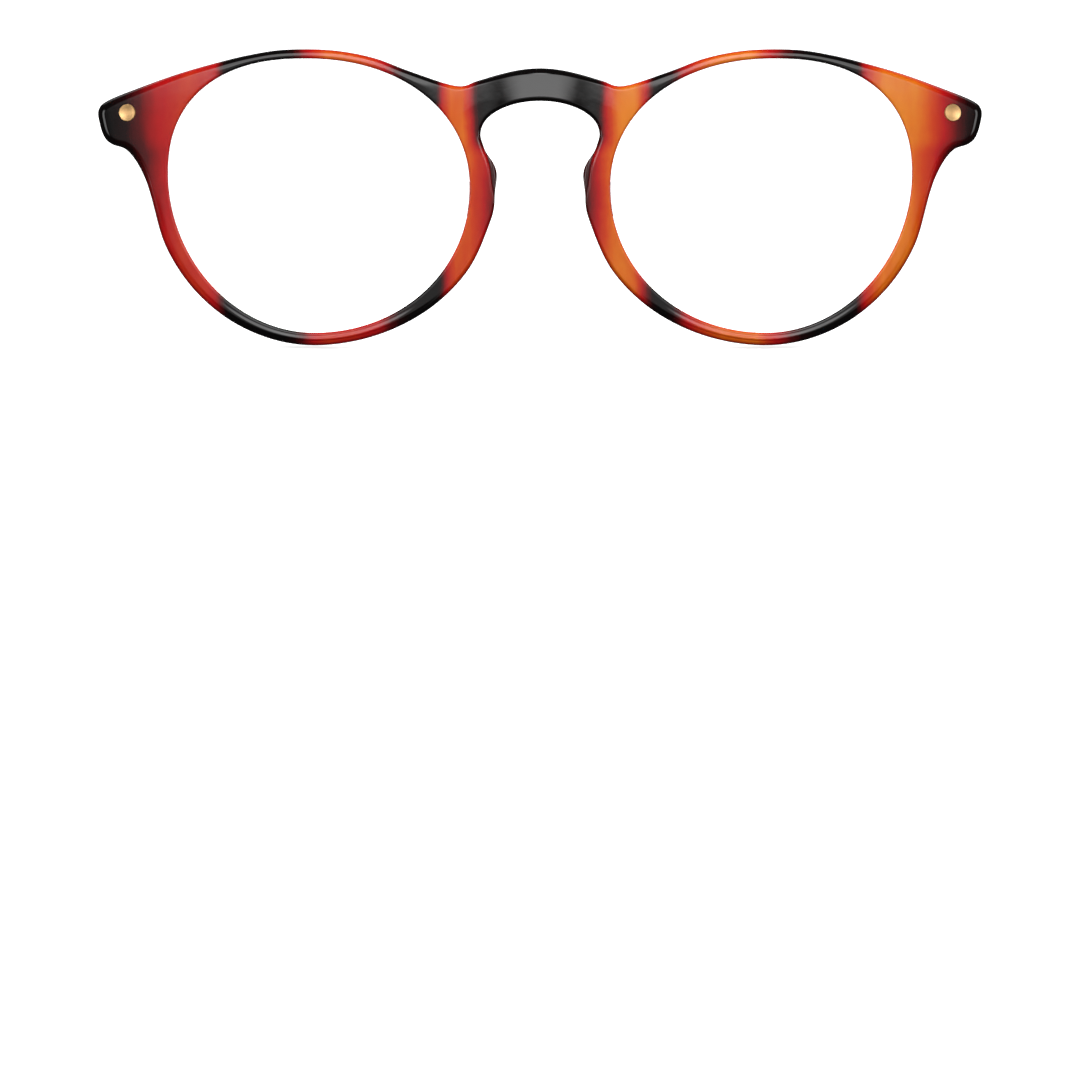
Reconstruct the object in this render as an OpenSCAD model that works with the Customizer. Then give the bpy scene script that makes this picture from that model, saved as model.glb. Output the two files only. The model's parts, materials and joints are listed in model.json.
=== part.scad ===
// Round acetate reading glasses with a keyhole bridge, rivet dots and folding temples.
// The front is drawn upright: x across the face, y back towards the ears, z up, with z = 0 at
// the middle of the lens openings. place() then stands the open glasses on their rims and tips.

/* [Lens openings] */
// Width of one lens opening
lens_w = 47.2; // [43:0.1:51]
// Height of one lens opening
lens_h = 42.8; // [38:0.1:46]
// Distance between the two lens openings
bridge_w = 22; // [20:0.1:26]
// Height of the widest point above the middle of the opening, on the temple side
outer_z = 3.3; // [1.5:0.1:4]
// Height of the widest point above the middle of the opening, on the nose side
inner_z = 1.2; // [0:0.1:3]
// How far the top of the opening leans towards the temple
brow_lean = 2; // [0:0.1:3]
// How far the bottom of the opening leans towards the temple
low_lean = 0.8; // [0:0.1:1.5]
// Squareness of the upper outer corner of the opening, 2 being round
brow_square = 2.36; // [2:0.05:2.6]
// Squareness of the upper inner corner of the opening
inner_square = 2.12; // [2:0.02:2.2]
// Squareness of the lower outer corner of the opening
low_outer_square = 1.95; // [1.86:0.02:2.1]
// Squareness of the lower inner corner of the opening
low_inner_square = 2.04; // [1.9:0.02:2.1]

/* [Lenses] */
// Thickness of a lens in its middle
lens_t = 2.4; // [2:0.1:3]
// Thickness of a lens at its edge
lens_edge_t = 1.7; // [1.5:0.1:1.9]
// Radius that a lens is curved to
lens_r = 130; // [115:5:170]
// How far the middle of a lens lies behind the foremost face of its rim
lens_set = 1.5; // [1.4:0.05:1.7]
// Depth of the V groove in the rim
groove_depth = 0.7; // [0.5:0.05:0.8]
// Width of the V groove at its mouth
groove_w = 1.3; // [1.1:0.05:1.4]
// Gap between a lens and its rim
lens_fit = 0.05; // [0.03:0.01:0.08]

/* [Rims] */
// Width of a rim over the lens
rim_top = 1.5; // [1.4:0.05:2.2]
// Width of a rim under the lens
rim_bottom = 2; // [1.8:0.05:3.2]
// Width of a rim beside the temple
rim_temple = 2.9; // [2.6:0.05:3.6]
// Width of a rim beside the nose
rim_nose = 3.8; // [3.5:0.05:4.2]
// Thickness of the front from face to back
front_t = 4; // [3.8:0.1:4.8]
// Radius that each rim is curved to across the face
face_r = 150; // [130:5:200]
// Radius that the front is curved to from top to bottom
face_rise_r = 260; // [200:10:400]
// Angle by which each rim wraps back towards the temple
wrap = 3; // [2:0.25:4]
// How far the face of a rim swells forward between its edges
rim_crown = 0.15; // [0:0.05:0.25]
// Rounding of the outer edges of the rims and bridge
edge_r = 0.7; // [0.5:0.05:0.8]
// Bevel of the edges that face the lens
lens_edge_r = 0.4; // [0.3:0.05:0.45]

/* [Bridge] */
// Height of the bridge bar
bridge_h = 5.1; // [4.4:0.1:5.8]
// How far the top of the bridge lies below the tops of the rims
bridge_drop = 3; // [2.6:0.05:3.8]
// How far the dip between bridge and rim lies below the top of the bridge
dip = 2.75; // [2:0.05:3.2]
// How far the middle of the bridge stands in front of the rims
bridge_forward = 0.9; // [0.5:0.05:1.2]
// Radius that the bridge is curved to across the nose
bridge_r = 20; // [17:0.5:24]
// Width of the keyhole at its widest
keyhole_w = 18.6; // [17:0.1:19]
// Height of the widest point of the keyhole above the middle of the lenses
keyhole_z = 9.7; // [8.9:0.1:10.4]

/* [End pieces] */
// How far an end piece reaches beyond the lens opening
end_len = 11.2; // [10.9:0.1:13]
// Height of an end piece at its tip
end_h = 6.9; // [6.6:0.1:7.8]
// Height of the middle of an end piece above the middle of the lenses
end_z = 11.5; // [10.9:0.1:12.1]
// How far the brow line bows up between rim and end piece
brow_bow = 0.6; // [0:0.05:1]
// Distance of the flat back of an end piece from the foremost face of the rims
butt_y = 9; // [8.7:0.1:9.8]
// Rounding of the edges at the tip of an end piece
tip_r = 1.2; // [0.8:0.05:1.3]

/* [Nose pads] */
// How far a nose pad stands back from the rim
pad_depth = 4.6; // [3.5:0.1:5.5]
// Width of a nose pad where it is cemented to the rim
pad_w = 3.2; // [2.6:0.1:3.4]
// How far a nose pad bulges past the rim towards the nose
pad_bulge = 0.9; // [0.4:0.05:1.2]
// Height of the middle of that bulge above the middle of the lenses
pad_bulge_z = 3.4; // [2:0.1:5]
// Half the height of that bulge
pad_bulge_half = 4; // [3:0.5:5]
// How far the ridge of a nose pad leans away from the nose
pad_lean = 0.7; // [0.3:0.1:1]
// Gap of cement between a nose pad and the rim
pad_fit = 0.04; // [0.03:0.01:0.06]

/* [Temples] */
// Length of a temple from the hinge end to the tip
temple_len = 138; // [130:1:142]
// Thickness of a temple at the hinge
temple_t = 3.4; // [3.2:0.05:3.8]
// Thickness of a temple at its tip
temple_tip_t = 2.8; // [2.4:0.05:3.2]
// Height of a temple at the hinge
temple_h = 6; // [5.6:0.1:6.4]
// Height of a temple at its slimmest
temple_waist_h = 4.4; // [4:0.1:5]
// Height of a temple near its tip
temple_tip_h = 6; // [5.2:0.1:6.6]
// Rounding of the edges of a temple as a share of its thickness
temple_round = 0.36; // [0.3:0.02:0.4]
// How far the outer face of a temple lies inside the tip of the end piece
temple_inset = 1.3; // [1:0.05:1.6]
// How far the temples close in towards their tips
temple_close = 1.8; // [0.5:0.1:2.5]
// Length of the part of a temple that bends down behind the ear
ear_len = 50; // [45:1:56]
// Angle by which a temple bends down behind the ear
ear_angle = 14; // [12:0.5:18]
// Radius of the bend over the ear
ear_r = 60; // [40:5:80]

/* [Hinges] */
// Distance from the inner face of a temple to the hinge axis
hinge_reach = 2.9; // [2.6:0.05:3.1]
// Height of the middle of a hinge above the middle of its end piece
hinge_up = 0.4; // [0.2:0.05:0.6]
// Radius of a hinge knuckle
knuckle_r = 1.25; // [1.15:0.05:1.3]
// Height of one of the five knuckles
knuckle_h = 0.9; // [0.8:0.05:0.95]
// Gap between two knuckles
knuckle_gap = 0.05; // [0.03:0.01:0.08]
// Gap between the knuckles and the face they turn beside
knuckle_clear = 0.1; // [0.08:0.01:0.2]
// Radius of the hinge screw
screw_r = 0.6; // [0.5:0.05:0.7]
// Radial gap between the screw and the knuckles
screw_fit = 0.05; // [0.03:0.01:0.08]
// Radius of the head of the hinge screw
screw_head_r = 1.05; // [0.9:0.05:1.15]
// Height of the head of the hinge screw
screw_head_h = 0.5; // [0.4:0.05:0.7]
// Width of the slot in the screw head
slot_w = 0.25; // [0.2:0.05:0.35]
// Thickness of the plates that are sunk into the acetate
plate_t = 1; // [0.8:0.05:1.1]
// Distance from the hinge axis to the nose end of the plate in the front
front_plate_in = 2.8; // [2.6:0.05:2.9]
// Length of the plate in the front
front_plate_len = 7.2; // [6.8:0.1:7.4]
// Length of the plate in the temple
temple_plate_len = 10; // [8:0.5:12]
// Gap left round the metal parts that are sunk into the acetate
sink_fit = 0.03; // [0.02:0.01:0.05]
// Gap between temple and end piece when the glasses are open
butt_gap = 0.05; // [0.03:0.01:0.1]

/* [Rivets] */
// Diameter of the rivet head that shows on the face
rivet_d = 2.75; // [2.4:0.05:3]
// Depth of the rivet head
rivet_head_t = 0.9; // [0.7:0.05:1.2]
// Radius of the rivet shank
rivet_shank_r = 0.65; // [0.5:0.05:0.7]
// Distance of the rivet from the tip of the end piece
rivet_in = 4.7; // [4.5:0.05:4.9]
// Height of the rivet above the middle of the hinge
rivet_up = 1.1; // [0.8:0.05:1.3]
// How far the rivet head stands proud of the face
rivet_proud = 0.08; // [0.05:0.01:0.15]
// Depth of the dish in the rivet head
rivet_dish = 0.2; // [0.1:0.05:0.3]
// Width of the flat rim round the dish
rivet_rim = 0.2; // [0.15:0.05:0.3]
// Distance of the rivet in a temple from the hinge end
temple_rivet_in = 4.8; // [4.4:0.1:5.2]

/* [Core wires] */
// Height of the flat wire inside a temple
core_h = 2.2; // [1.8:0.1:2.6]
// Thickness of the flat wire inside a temple
core_t = 0.8; // [0.6:0.05:0.9]
// Distance of the start of the wire from the hinge end of the temple
core_in = 7.2; // [6.8:0.1:7.6]
// Distance of the end of the wire from the tip of the temple
core_short = 14; // [10:1:20]

/* [Hidden] */

tortoise = [0.55, 0.13, 0.10];
clear = [0.85, 0.92, 0.95, 0.35];
gold = [0.85, 0.66, 0.36];
steel = [0.72, 0.72, 0.74];

$fn = 48;
eps = 0.01;

// Places worked out from the sizes above
lens_x = (bridge_w + lens_w) / 2;
nose_x = bridge_w / 2;
edge_x = nose_x + lens_w;
tip_x = edge_x + end_len;
bridge_z = lens_h / 2 + rim_top - bridge_drop;
arch_z = bridge_z - bridge_h;
dip_x = nose_x + 2.1;
dip_z = bridge_z - dip;
temple_outer_x = tip_x - temple_inset;
temple_inner_x = temple_outer_x - temple_t;
temple_y = butt_y + butt_gap;
hinge_x = temple_inner_x - hinge_reach;
hinge_y = butt_y + knuckle_r + knuckle_clear;
hinge_z = end_z + hinge_up;
hinge_h = 5 * knuckle_h + 4 * knuckle_gap;
plate_h = hinge_h;
plate_low = hinge_z - plate_h / 2;
rivet_x = tip_x - rivet_in;
rivet_z = hinge_z + rivet_up;

function mix(a, b, t) = a + (b - a) * t;
function ease(t) = (1 - cos(180 * min(max(t, 0), 1))) / 2;
function unit(v) = v / norm(v);
function smooth_min(a, b, k) = min(a, b) - pow(max(k - abs(a - b), 0), 2) / (4 * k);

// Lens opening: four quarters of a superellipse, at angle a from the temple side
function opening(a) =
    let (top = sin(a) >= 0,
         outer = cos(a) >= 0,
         lean = top ? brow_lean : low_lean,
         half_w = lens_w / 2 + (outer ? -lean : lean),
         widest_z = outer ? outer_z : inner_z,
         half_h = lens_h / 2 + (top ? -widest_z : widest_z),
         square = top ? (outer ? brow_square : inner_square) : (outer ? low_outer_square : low_inner_square),
         e = 2 / square)
    [lens_x + lean + half_w * sign(cos(a)) * pow(abs(cos(a)), e),
     widest_z + half_h * sign(sin(a)) * pow(abs(sin(a)), e)];

// Direction that points out of the opening into the rim
function opening_out(a) =
    let (d = opening(a - 0.5) - opening(a + 0.5))
    unit([-d[1], d[0]]);

// A rim widens from its top and bottom to its sides, sooner below the temple than elsewhere
top_widening = 0.8;
low_nose_widening = 0.7;
low_temple_widening = 0.5;
function rim_width(a) =
    let (nasal = cos(a) < 0,
         side = nasal ? rim_nose : rim_temple,
         away = 1 - abs(sin(a)),
         widening = nasal ? low_nose_widening : low_temple_widening)
    sin(a) >= 0 ? mix(rim_top, side, ease(pow(away, top_widening)))
                : mix(rim_bottom, side, ease(pow(away, widening)));

function rim_point(a) = opening(a) + rim_width(a) * opening_out(a);

// Outline of the right half of the front, clockwise from the top of the bridge.
// Each row holds x, z, the angle of the opening that faces it and the rounding of the edge.
brow_from = 70;
brow_to = 24;
arch_from = -199;
arch_to = -210;
bridge_from = 148;
bridge_to = 140;
bridge_flat = 0.65;

bridge_rows = [for (t = [0:0.25:1])
    [dip_x * t,
     mix(dip_z, bridge_z, pow((1 + cos(180 * t)) / 2, bridge_flat)),
     mix(bridge_from, bridge_to, t),
     edge_r]];
top_rim_rows = [for (a = [126:-14:brow_from]) concat(rim_point(a), [a, edge_r])];

// Tip of an end piece: how far in, height as a share of end_h, opening angle, share of tip_r
tip_shape = [
    [1.7, 0.5, brow_to, 1],
    [0.15, 0.28, 20, 1],
    [0.35, -0.04, 16, 1],
    [1.1, -0.34, 13, 0.9],
    [2.3, -0.5, 11, 0.9],
    [4.4, -0.61, 9, 1]
];
tip_rows = [for (p = tip_shape) [tip_x - p[0], end_z + p[1] * end_h, p[2], p[3] * tip_r]];

brow_rows = [for (t = [0.25:0.25:0.75])
    concat(mix(rim_point(brow_from), [tip_rows[0][0], tip_rows[0][1]], t) + [0, brow_bow * sin(180 * t)],
           [mix(brow_from, brow_to, t), mix(edge_r, tip_r, t)])];

// Underside of an end piece, from the tip down into the rim
rim_x = edge_x + rim_temple;
corner_rows = [
    [rim_x + 2.3, end_z - 0.86 * end_h, 6, tip_r],
    [rim_x + 0.85, end_z - 1.25 * end_h, 1, mix(edge_r, tip_r, 0.5)]
];
low_rim_rows = [for (a = [-8:-16:-168]) concat(rim_point(a), [a, edge_r])];

// Side of the nose: share of rim_nose from the opening, share of keyhole_z, opening angle
nose_shape = [[1.03, -0.1, -175], [0.92, 0.23, -181], [0.8, 0.54, -187]];
nose_rows = [for (p = nose_shape) [nose_x - p[0] * rim_nose, p[1] * keyhole_z, p[2], edge_r]];
neck_x = mix(nose_rows[2][0], keyhole_w / 2, 0.68);
neck_row = [neck_x, 0.81 * keyhole_z, -192, edge_r];
arch_rows = [for (t = [0:0.25:1])
    [keyhole_w / 2 * cos(90 * t),
     keyhole_z + (arch_z - keyhole_z) * sin(90 * t),
     mix(arch_from, arch_to, t),
     edge_r]];
rows = concat(bridge_rows, top_rim_rows, brow_rows, tip_rows, corner_rows, low_rim_rows,
              nose_rows, [neck_row], arch_rows);

// The outline crosses the middle level, so the rows before and after it are mirror images
function mirrored(row) = [-row[0], row[1], row[2], row[3]];
last_row = len(rows) - 1;
spline_rows = concat([mirrored(rows[1])], rows, [mirrored(rows[last_row - 1])]);

// Cubic curve from p to q that heads from o to q at p and from p to r at q
function curve(o, p, q, r, t) =
    p * (2 * pow(t, 3) - 3 * pow(t, 2) + 1) + q * (3 * pow(t, 2) - 2 * pow(t, 3))
    + (q - o) / 2 * (pow(t, 3) - 2 * pow(t, 2) + t) + (r - p) / 2 * (pow(t, 3) - pow(t, 2));
function heading(o, p, q, r, t) =
    (q - p) * 6 * (t - pow(t, 2))
    + (q - o) / 2 * (3 * pow(t, 2) - 4 * t + 1) + (r - p) / 2 * (3 * pow(t, 2) - 2 * t);

// Stations of the outline: x, z, opening angle, edge rounding, and the direction out of the front
row_steps = 2;
function station(k, t) =
    let (o = spline_rows[k], p = spline_rows[k + 1], q = spline_rows[k + 2], r = spline_rows[k + 3],
         d = heading(o, p, q, r, t),
         out = unit([-d[1], d[0]]))
    concat(curve(o, p, q, r, t), out);
outline = concat(
    [for (k = [0:last_row - 1]) for (s = [0:row_steps - 1]) station(k, s / row_steps)],
    [station(last_row - 1, 1)]);

// Stations on the mid plane, where the two halves of the bridge run into each other
bridge_steps = 3;
joins = [for (s = [1:bridge_steps - 1])
    [0,
     mix(arch_z + edge_r, bridge_z - edge_r, s / bridge_steps),
     mix(arch_to, bridge_from - 360, s / bridge_steps)]];
outline_count = len(outline);
station_count = outline_count + len(joins);

// Face and back of the front, as distances in y
rim_y = face_r * pow(tan(wrap), 2) / 2;
rim_blend = 1.4;
bridge_lean = 0.06;
bridge_mid_z = (arch_z + bridge_z) / 2;
lean_down_to = bridge_h / 2 + 2;
back_blend = 2;
function rim_plan(x) = rim_y + pow(x - lens_x, 2) / (2 * face_r) + (x - lens_x) * tan(wrap);
function bridge_plan(x) = pow(x, 2) / (2 * bridge_r) - bridge_forward;
function rise(z) = pow(z, 2) / (2 * face_rise_r);
function leant_bridge(x, z) = bridge_plan(x) - bridge_lean * smooth_min(bridge_mid_z - z, lean_down_to, 2);
function face_y(x, z) = smooth_min(rim_plan(x), leant_bridge(x, z), rim_blend) + rise(z);
end_start_x = edge_x - 2.4;
end_full_x = edge_x + 0.7;
end_start_z = end_z - 13;
end_full_z = end_z - 5.2;
function end_share(x, z) =
    ease((x - end_start_x) / (end_full_x - end_start_x)) * ease((z - end_start_z) / (end_full_z - end_start_z));
function back_y(x, z) =
    mix(smooth_min(rim_plan(x), bridge_plan(x), back_blend) + rise(z) + front_t, butt_y, end_share(x, z));

// Middle surface of a lens, which the groove follows
function lens_mid(x, z) =
    rim_y + lens_set + (x - lens_x) * tan(wrap) + (pow(x - lens_x, 2) + pow(z, 2)) / (2 * lens_r);

// The lines that run from a lens opening into the bridge bow upward by this much, clear of the arch
bridge_end = bridge_from - 360;
arch_bow = 1.4;
function bow(x, a) =
    a >= arch_from ? 0
    : a >= arch_to ? arch_bow * pow(acos(min(x / (keyhole_w / 2), 1)) / 90, 1.5)
    : arch_bow * (a - bridge_end) / (arch_to - bridge_end);

// Cross-section of the front at one station, as a loop of points that starts in the groove.
// The face swells only where it is a narrow rim, and lies flat in the end pieces.
face_steps = 5;
crown_from = 2;
crown_fade = 2.4;
function at(p, y) = [p[0], y, p[1]];
function section(i) =
    let (joined = i >= outline_count,
         row = joined ? joins[i - outline_count] : outline[i],
         wall = [row[0], row[1]],
         r = joined ? 0 : row[3],
         out = joined ? [0, 0] : [row[4], row[5]],
         brink = wall - out * r,
         mid = wall - out * r * (1 - sin(45)),
         hole = opening(row[2]),
         into = opening_out(row[2]),
         lip = hole + into * lens_edge_r,
         seat_y = lens_mid(hole[0], hole[1]),
         crown = rim_crown * ease((crown_from + crown_fade - norm(wall - hole)) / crown_fade),
         across = [for (s = [1:face_steps - 1])
             mix(lip, brink, s / face_steps)
             + [0, bow(row[0], row[2]) * 4 * s * (face_steps - s) / pow(face_steps, 2)]],
         bulge = [for (s = [1:face_steps - 1]) crown * sin(180 * s / face_steps)])
    concat(
        [at(hole + into * groove_depth, seat_y),
         at(hole, seat_y - groove_w / 2),
         at(hole, face_y(hole[0], hole[1]) + lens_edge_r),
         at(lip, face_y(lip[0], lip[1]))],
        [for (s = [0:face_steps - 2]) at(across[s], face_y(across[s][0], across[s][1]) - bulge[s])],
        [at(brink, face_y(brink[0], brink[1])),
         at(mid, face_y(wall[0], wall[1]) + r * (1 - sin(45))),
         at(wall, face_y(wall[0], wall[1]) + r),
         at(wall, back_y(wall[0], wall[1]) - r),
         at(mid, back_y(wall[0], wall[1]) - r * (1 - sin(45))),
         at(brink, back_y(brink[0], brink[1]))],
        [for (s = [face_steps - 2:-1:0]) at(across[s], back_y(across[s][0], across[s][1]))],
        [at(lip, back_y(lip[0], lip[1])),
         at(hole, back_y(hole[0], hole[1]) - lens_edge_r),
         at(hole, seat_y + groove_w / 2)]);

// Triangles between rings of equal length; reversed turns the surface round
function strip(a, b, j, k, reversed) =
    reversed ? [[a + j, b + k, a + k], [a + j, b + j, b + k]] : [[a + j, a + k, b + k], [a + j, b + k, b + j]];

brink_at = face_steps + 3;
brink_back_at = brink_at + 5;
ring_len = brink_back_at + face_steps + 3;
half_points = [for (i = [0:station_count - 1]) each section(i)];
half_faces = [for (i = [0:station_count - 1]) for (j = [0:ring_len - 1])
    let (next = (i + 1) % station_count,
         on_bridge = i >= outline_count - 1)
    if (!(on_bridge && j >= brink_at && j < brink_back_at))
        each strip(i * ring_len, next * ring_len, j, (j + 1) % ring_len, false)];

// The points on the mid plane are shared by both halves
half_size = len(half_points);
function other(i) = abs(half_points[i][0]) < 0.0001 ? i : i + half_size;
front_points = concat(half_points, [for (p = half_points) [-p[0], p[1], p[2]]]);
front_faces = concat(half_faces, [for (f = half_faces) [other(f[0]), other(f[2]), other(f[1])]]);

// Height, thickness and place of a temple at a share t of its length
tip_round = 0.03;
waist_start = 0.1;
waist = 0.6;
full_tip = 0.92;
function temple_height(t) =
    t < waist ? mix(temple_h, temple_waist_h, ease((t - waist_start) / (waist - waist_start)))
              : mix(temple_waist_h, temple_tip_h, ease((t - waist) / (full_tip - waist)));
function temple_thickness(t) = mix(temple_t, temple_tip_t, t);
function temple_mid_x(t) = temple_outer_x - temple_t / 2 - temple_close * pow(t, 2);
function past_bend(t) = t * temple_len - (temple_len - ear_len);
function ear_slope(t) = asin(min(max(past_bend(t) / ear_r, 0), sin(ear_angle)));
function ear_drop(t) =
    let (d = past_bend(t), run = ear_r * sin(ear_angle))
    d <= 0 ? 0
    : d < run ? ear_r - sqrt(pow(ear_r, 2) - pow(d, 2))
    : ear_r * (1 - cos(ear_angle)) + (d - run) * tan(ear_angle);

// A loop of points square to the temple, from a list of [across, up]
function temple_ring(shape, t, shift) =
    [for (p = shape)
        [temple_mid_x(t) + shift + p[0],
         temple_y + temple_len * t + p[1] * sin(ear_slope(t)),
         hinge_z - ear_drop(t) + p[1] * cos(ear_slope(t))]];

// Rounded rectangle with four points a corner
function rounded(w, h, r) =
    [for (c = [[1, 1, 0], [-1, 1, 90], [-1, -1, 180], [1, -1, 270]]) for (a = [0:30:90])
        [c[0] * (w / 2 - r) + r * cos(c[2] + a), c[1] * (h / 2 - r) + r * sin(c[2] + a)]];
tip_blunt = 0.3;
function temple_section(t) =
    let (w = temple_thickness(t),
         h = temple_height(t),
         left = (1 - t) / tip_round,
         end = left < 1 ? sqrt(max(1 - pow(1 - left, 2), 0.02)) : 1,
         slim = mix(end, 1, tip_blunt))
    rounded(w * slim, h * end, temple_round * w * slim * min(end * 2, 1));
temple_shares = concat([0, 0.02], [for (k = [1:14]) 0.065 * k],
                       [0.94, 1 - tip_round, 0.982, 0.992, 0.9975, 1]);

module loft(rings, reversed) {
    n = len(rings[0]);
    last = (len(rings) - 1) * n;
    points = [for (ring = rings) each ring];
    walls = [for (i = [0:len(rings) - 2]) for (j = [0:n - 1])
        each strip(i * n, (i + 1) * n, j, (j + 1) % n, reversed)];
    first_cap = [for (j = [1:n - 2]) reversed ? [0, j, j + 1] : [0, j + 1, j]];
    last_cap = [for (j = [1:n - 2]) reversed ? [last, last + j + 1, last + j] : [last, last + j, last + j + 1]];
    polyhedron(points, concat(walls, first_cap, last_cap), convexity = 6);
}

temple_rings = [for (t = temple_shares) temple_ring(temple_section(t), t, 0)];

// The core wire starts against the hinge plate and runs over to the middle of the temple
core_start = core_in / temple_len;
core_end = 1 - core_short / temple_len;
core_shift = plate_t + sink_fit + core_t / 2 - temple_t / 2;
core_shares = [for (k = [0:15]) mix(core_start, core_end, k / 15)];
module core_loft(extra) {
    w = core_t / 2 + extra;
    h = core_h / 2 + extra;
    lead = extra / temple_len;
    shape = [[w, h], [-w, h], [-w, -h], [w, -h]];
    loft([for (k = [0:15])
        temple_ring(shape, core_shares[k] + (k == 0 ? -lead : k == 15 ? lead : 0),
                    mix(core_shift, 0, core_shares[k]))], false);
}

// The open glasses stand on the rims and on the tips of the temples
function lowest(points, lean) = min([for (p = points) p[2] * cos(lean) - p[1] * sin(lean)]);
rim_low = [back_y(lens_x, -lens_h / 2 - rim_bottom) - edge_r, -lens_h / 2 - rim_bottom];
tip_low = [temple_y + temple_len * (1 - tip_round), hinge_z - ear_drop(1 - tip_round) - temple_tip_h / 2];
tilt = atan((tip_low[1] - rim_low[1]) / (tip_low[0] - rim_low[0]));
temple_points = [for (ring = temple_rings) each ring];
ground = min(lowest(front_points, tilt), lowest(temple_points, tilt));
function leaned_y(p) = p[1] * cos(tilt) + p[2] * sin(tilt);
mid_y = (min([for (p = front_points) leaned_y(p)]) + max([for (p = temple_points) leaned_y(p)])) / 2;

module place() {
    translate([0, -mid_y, -ground])
        rotate([-tilt, 0, 0])
            children();
}

// The left side of the wearer is at +x
module left() {
    place() children();
}

module right() {
    place() mirror([1, 0, 0]) children();
}

module front() {
    place()
        color(tortoise)
            difference() {
                polyhedron(front_points, front_faces, convexity = 8);
                for (side = [0, 1])
                    mirror([side, 0, 0]) {
                        front_plate_pocket();
                        at_front_rivet()
                            rivet_hole(rivet_depth);
                    }
            }
}

module front_plate_pocket() {
    translate([hinge_x - front_plate_in - sink_fit, butt_y - plate_t - sink_fit, plate_low - sink_fit])
        cube([front_plate_len + 2 * sink_fit, plate_t + 1, plate_h + 2 * sink_fit]);
}

// One lens, bevelled all round to sit in the groove
module lens() {
    middle = 0.03;
    halfway = 0.62;
    edge = lens_edge_t / 2;
    angles = concat([for (row = outline) row[2]], [for (row = joins) row[2]]);
    holes = [for (a = angles) opening(a)];
    outs = [for (a = angles) opening_out(a)];
    function half_t(share) = mix(lens_t, lens_edge_t, pow(share, 2)) / 2;
    function rim_ring(grow, dy) =
        [for (i = [0:station_count - 1])
            at(holes[i] + outs[i] * grow, lens_mid(holes[i][0], holes[i][1]) + dy)];
    function inner_ring(share, sense) =
        [for (h = holes)
            let (p = mix([lens_x, 0], h, share))
            at(p, lens_mid(p[0], p[1]) + sense * half_t(share))];
    rings = [inner_ring(middle, -1), inner_ring(halfway, -1),
             rim_ring(-lens_fit, -edge), rim_ring(-lens_fit, -groove_w / 2),
             rim_ring(groove_depth - lens_fit, 0),
             rim_ring(-lens_fit, groove_w / 2), rim_ring(-lens_fit, edge),
             inner_ring(halfway, 1), inner_ring(middle, 1)];
    color(clear)
        loft(rings, true);
}

// One nose pad, cemented to the back of the rim along the stations beside the nose
pad_first = outline_count - 1 - row_steps * 10;
pad_last = outline_count - 1 - row_steps * 4;
pad_end = 0.04;
pad_end_w = 0.75;
pad_steps = 5;
module nose_pad() {
    rings = [for (i = [pad_first:pad_last])
        let (t = (i - pad_first) / (pad_last - pad_first),
             full = pow(sin(180 * mix(pad_end, 1 - pad_end, t)), 0.6),
             wall = [outline[i][0], outline[i][1]],
             inward = unit(opening(outline[i][2]) - wall),
             from = -pad_bulge * ease(1 - abs(wall[1] - pad_bulge_z) / pad_bulge_half),
             to = pad_w * mix(pad_end_w, 1, full))
        concat(
            [for (a = [0:22.5:180])
                let (p = wall + inward * (mix(from, to, (1 - cos(a)) / 2) + pad_lean * full * sin(a)))
                at(p, back_y(p[0], p[1]) + pad_fit + pad_depth * full * sin(a))],
            [for (s = [pad_steps - 1:-1:1])
                let (p = wall + inward * mix(from, to, s / pad_steps))
                at(p, back_y(p[0], p[1]) + pad_fit)])];
    color(tortoise)
        loft(rings, false);
}

// Rivet with a dished head, from the face at the origin into the acetate along +y.
// turn and lean set the head level with a face that slopes.
dish_r = (pow(rivet_d / 2 - rivet_rim, 2) + pow(rivet_dish, 2)) / (2 * rivet_dish);
module rivet(depth, turn, lean) {
    spare = 1;
    color(gold)
        difference() {
            rotate([-90, 0, 0]) {
                translate([0, 0, -spare])
                    cylinder(r = rivet_d / 2, h = rivet_head_t + spare);
                cylinder(r = rivet_shank_r, h = depth);
            }
            rotate([lean, 0, turn])
                translate([0, -rivet_proud, 0]) {
                    translate([-rivet_d, -rivet_d, -rivet_d])
                        cube([2 * rivet_d, rivet_d, 2 * rivet_d]);
                    translate([0, rivet_dish - dish_r, 0])
                        sphere(r = dish_r);
                }
        }
}

// Hole for a rivet, stepped for its head
module rivet_hole(depth) {
    spare = 2;
    rotate([-90, 0, 0]) {
        translate([0, 0, -spare])
            cylinder(r = rivet_d / 2 + sink_fit, h = spare + rivet_head_t + sink_fit);
        cylinder(r = rivet_shank_r + sink_fit, h = depth + spare);
    }
}

// The rivet of an end piece stands square to the hinge plate, behind a face that slopes
rivet_face_y = face_y(rivet_x, rivet_z);
rivet_depth = butt_y - rivet_face_y;
face_turn = atan((face_y(rivet_x + eps, rivet_z) - rivet_face_y) / eps);
face_lean = atan((face_y(rivet_x, rivet_z + eps) - rivet_face_y) / eps);
module at_front_rivet() {
    translate([rivet_x, rivet_face_y, rivet_z])
        children();
}

// The rivet of a temple goes in from its outer face
temple_rivet_t = temple_rivet_in / temple_len;
temple_rivet_x = temple_mid_x(temple_rivet_t) + temple_thickness(temple_rivet_t) / 2;
temple_rivet_depth = temple_rivet_x - temple_inner_x;
module at_temple_rivet() {
    translate([temple_rivet_x, temple_y + temple_rivet_in, hinge_z])
        rotate([0, 0, 90])
            children();
}

module front_rivet() {
    at_front_rivet()
        rivet(rivet_depth, face_turn, face_lean);
}

module temple_rivet() {
    at_temple_rivet()
        rivet(temple_rivet_depth, 0, 0);
}

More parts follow.
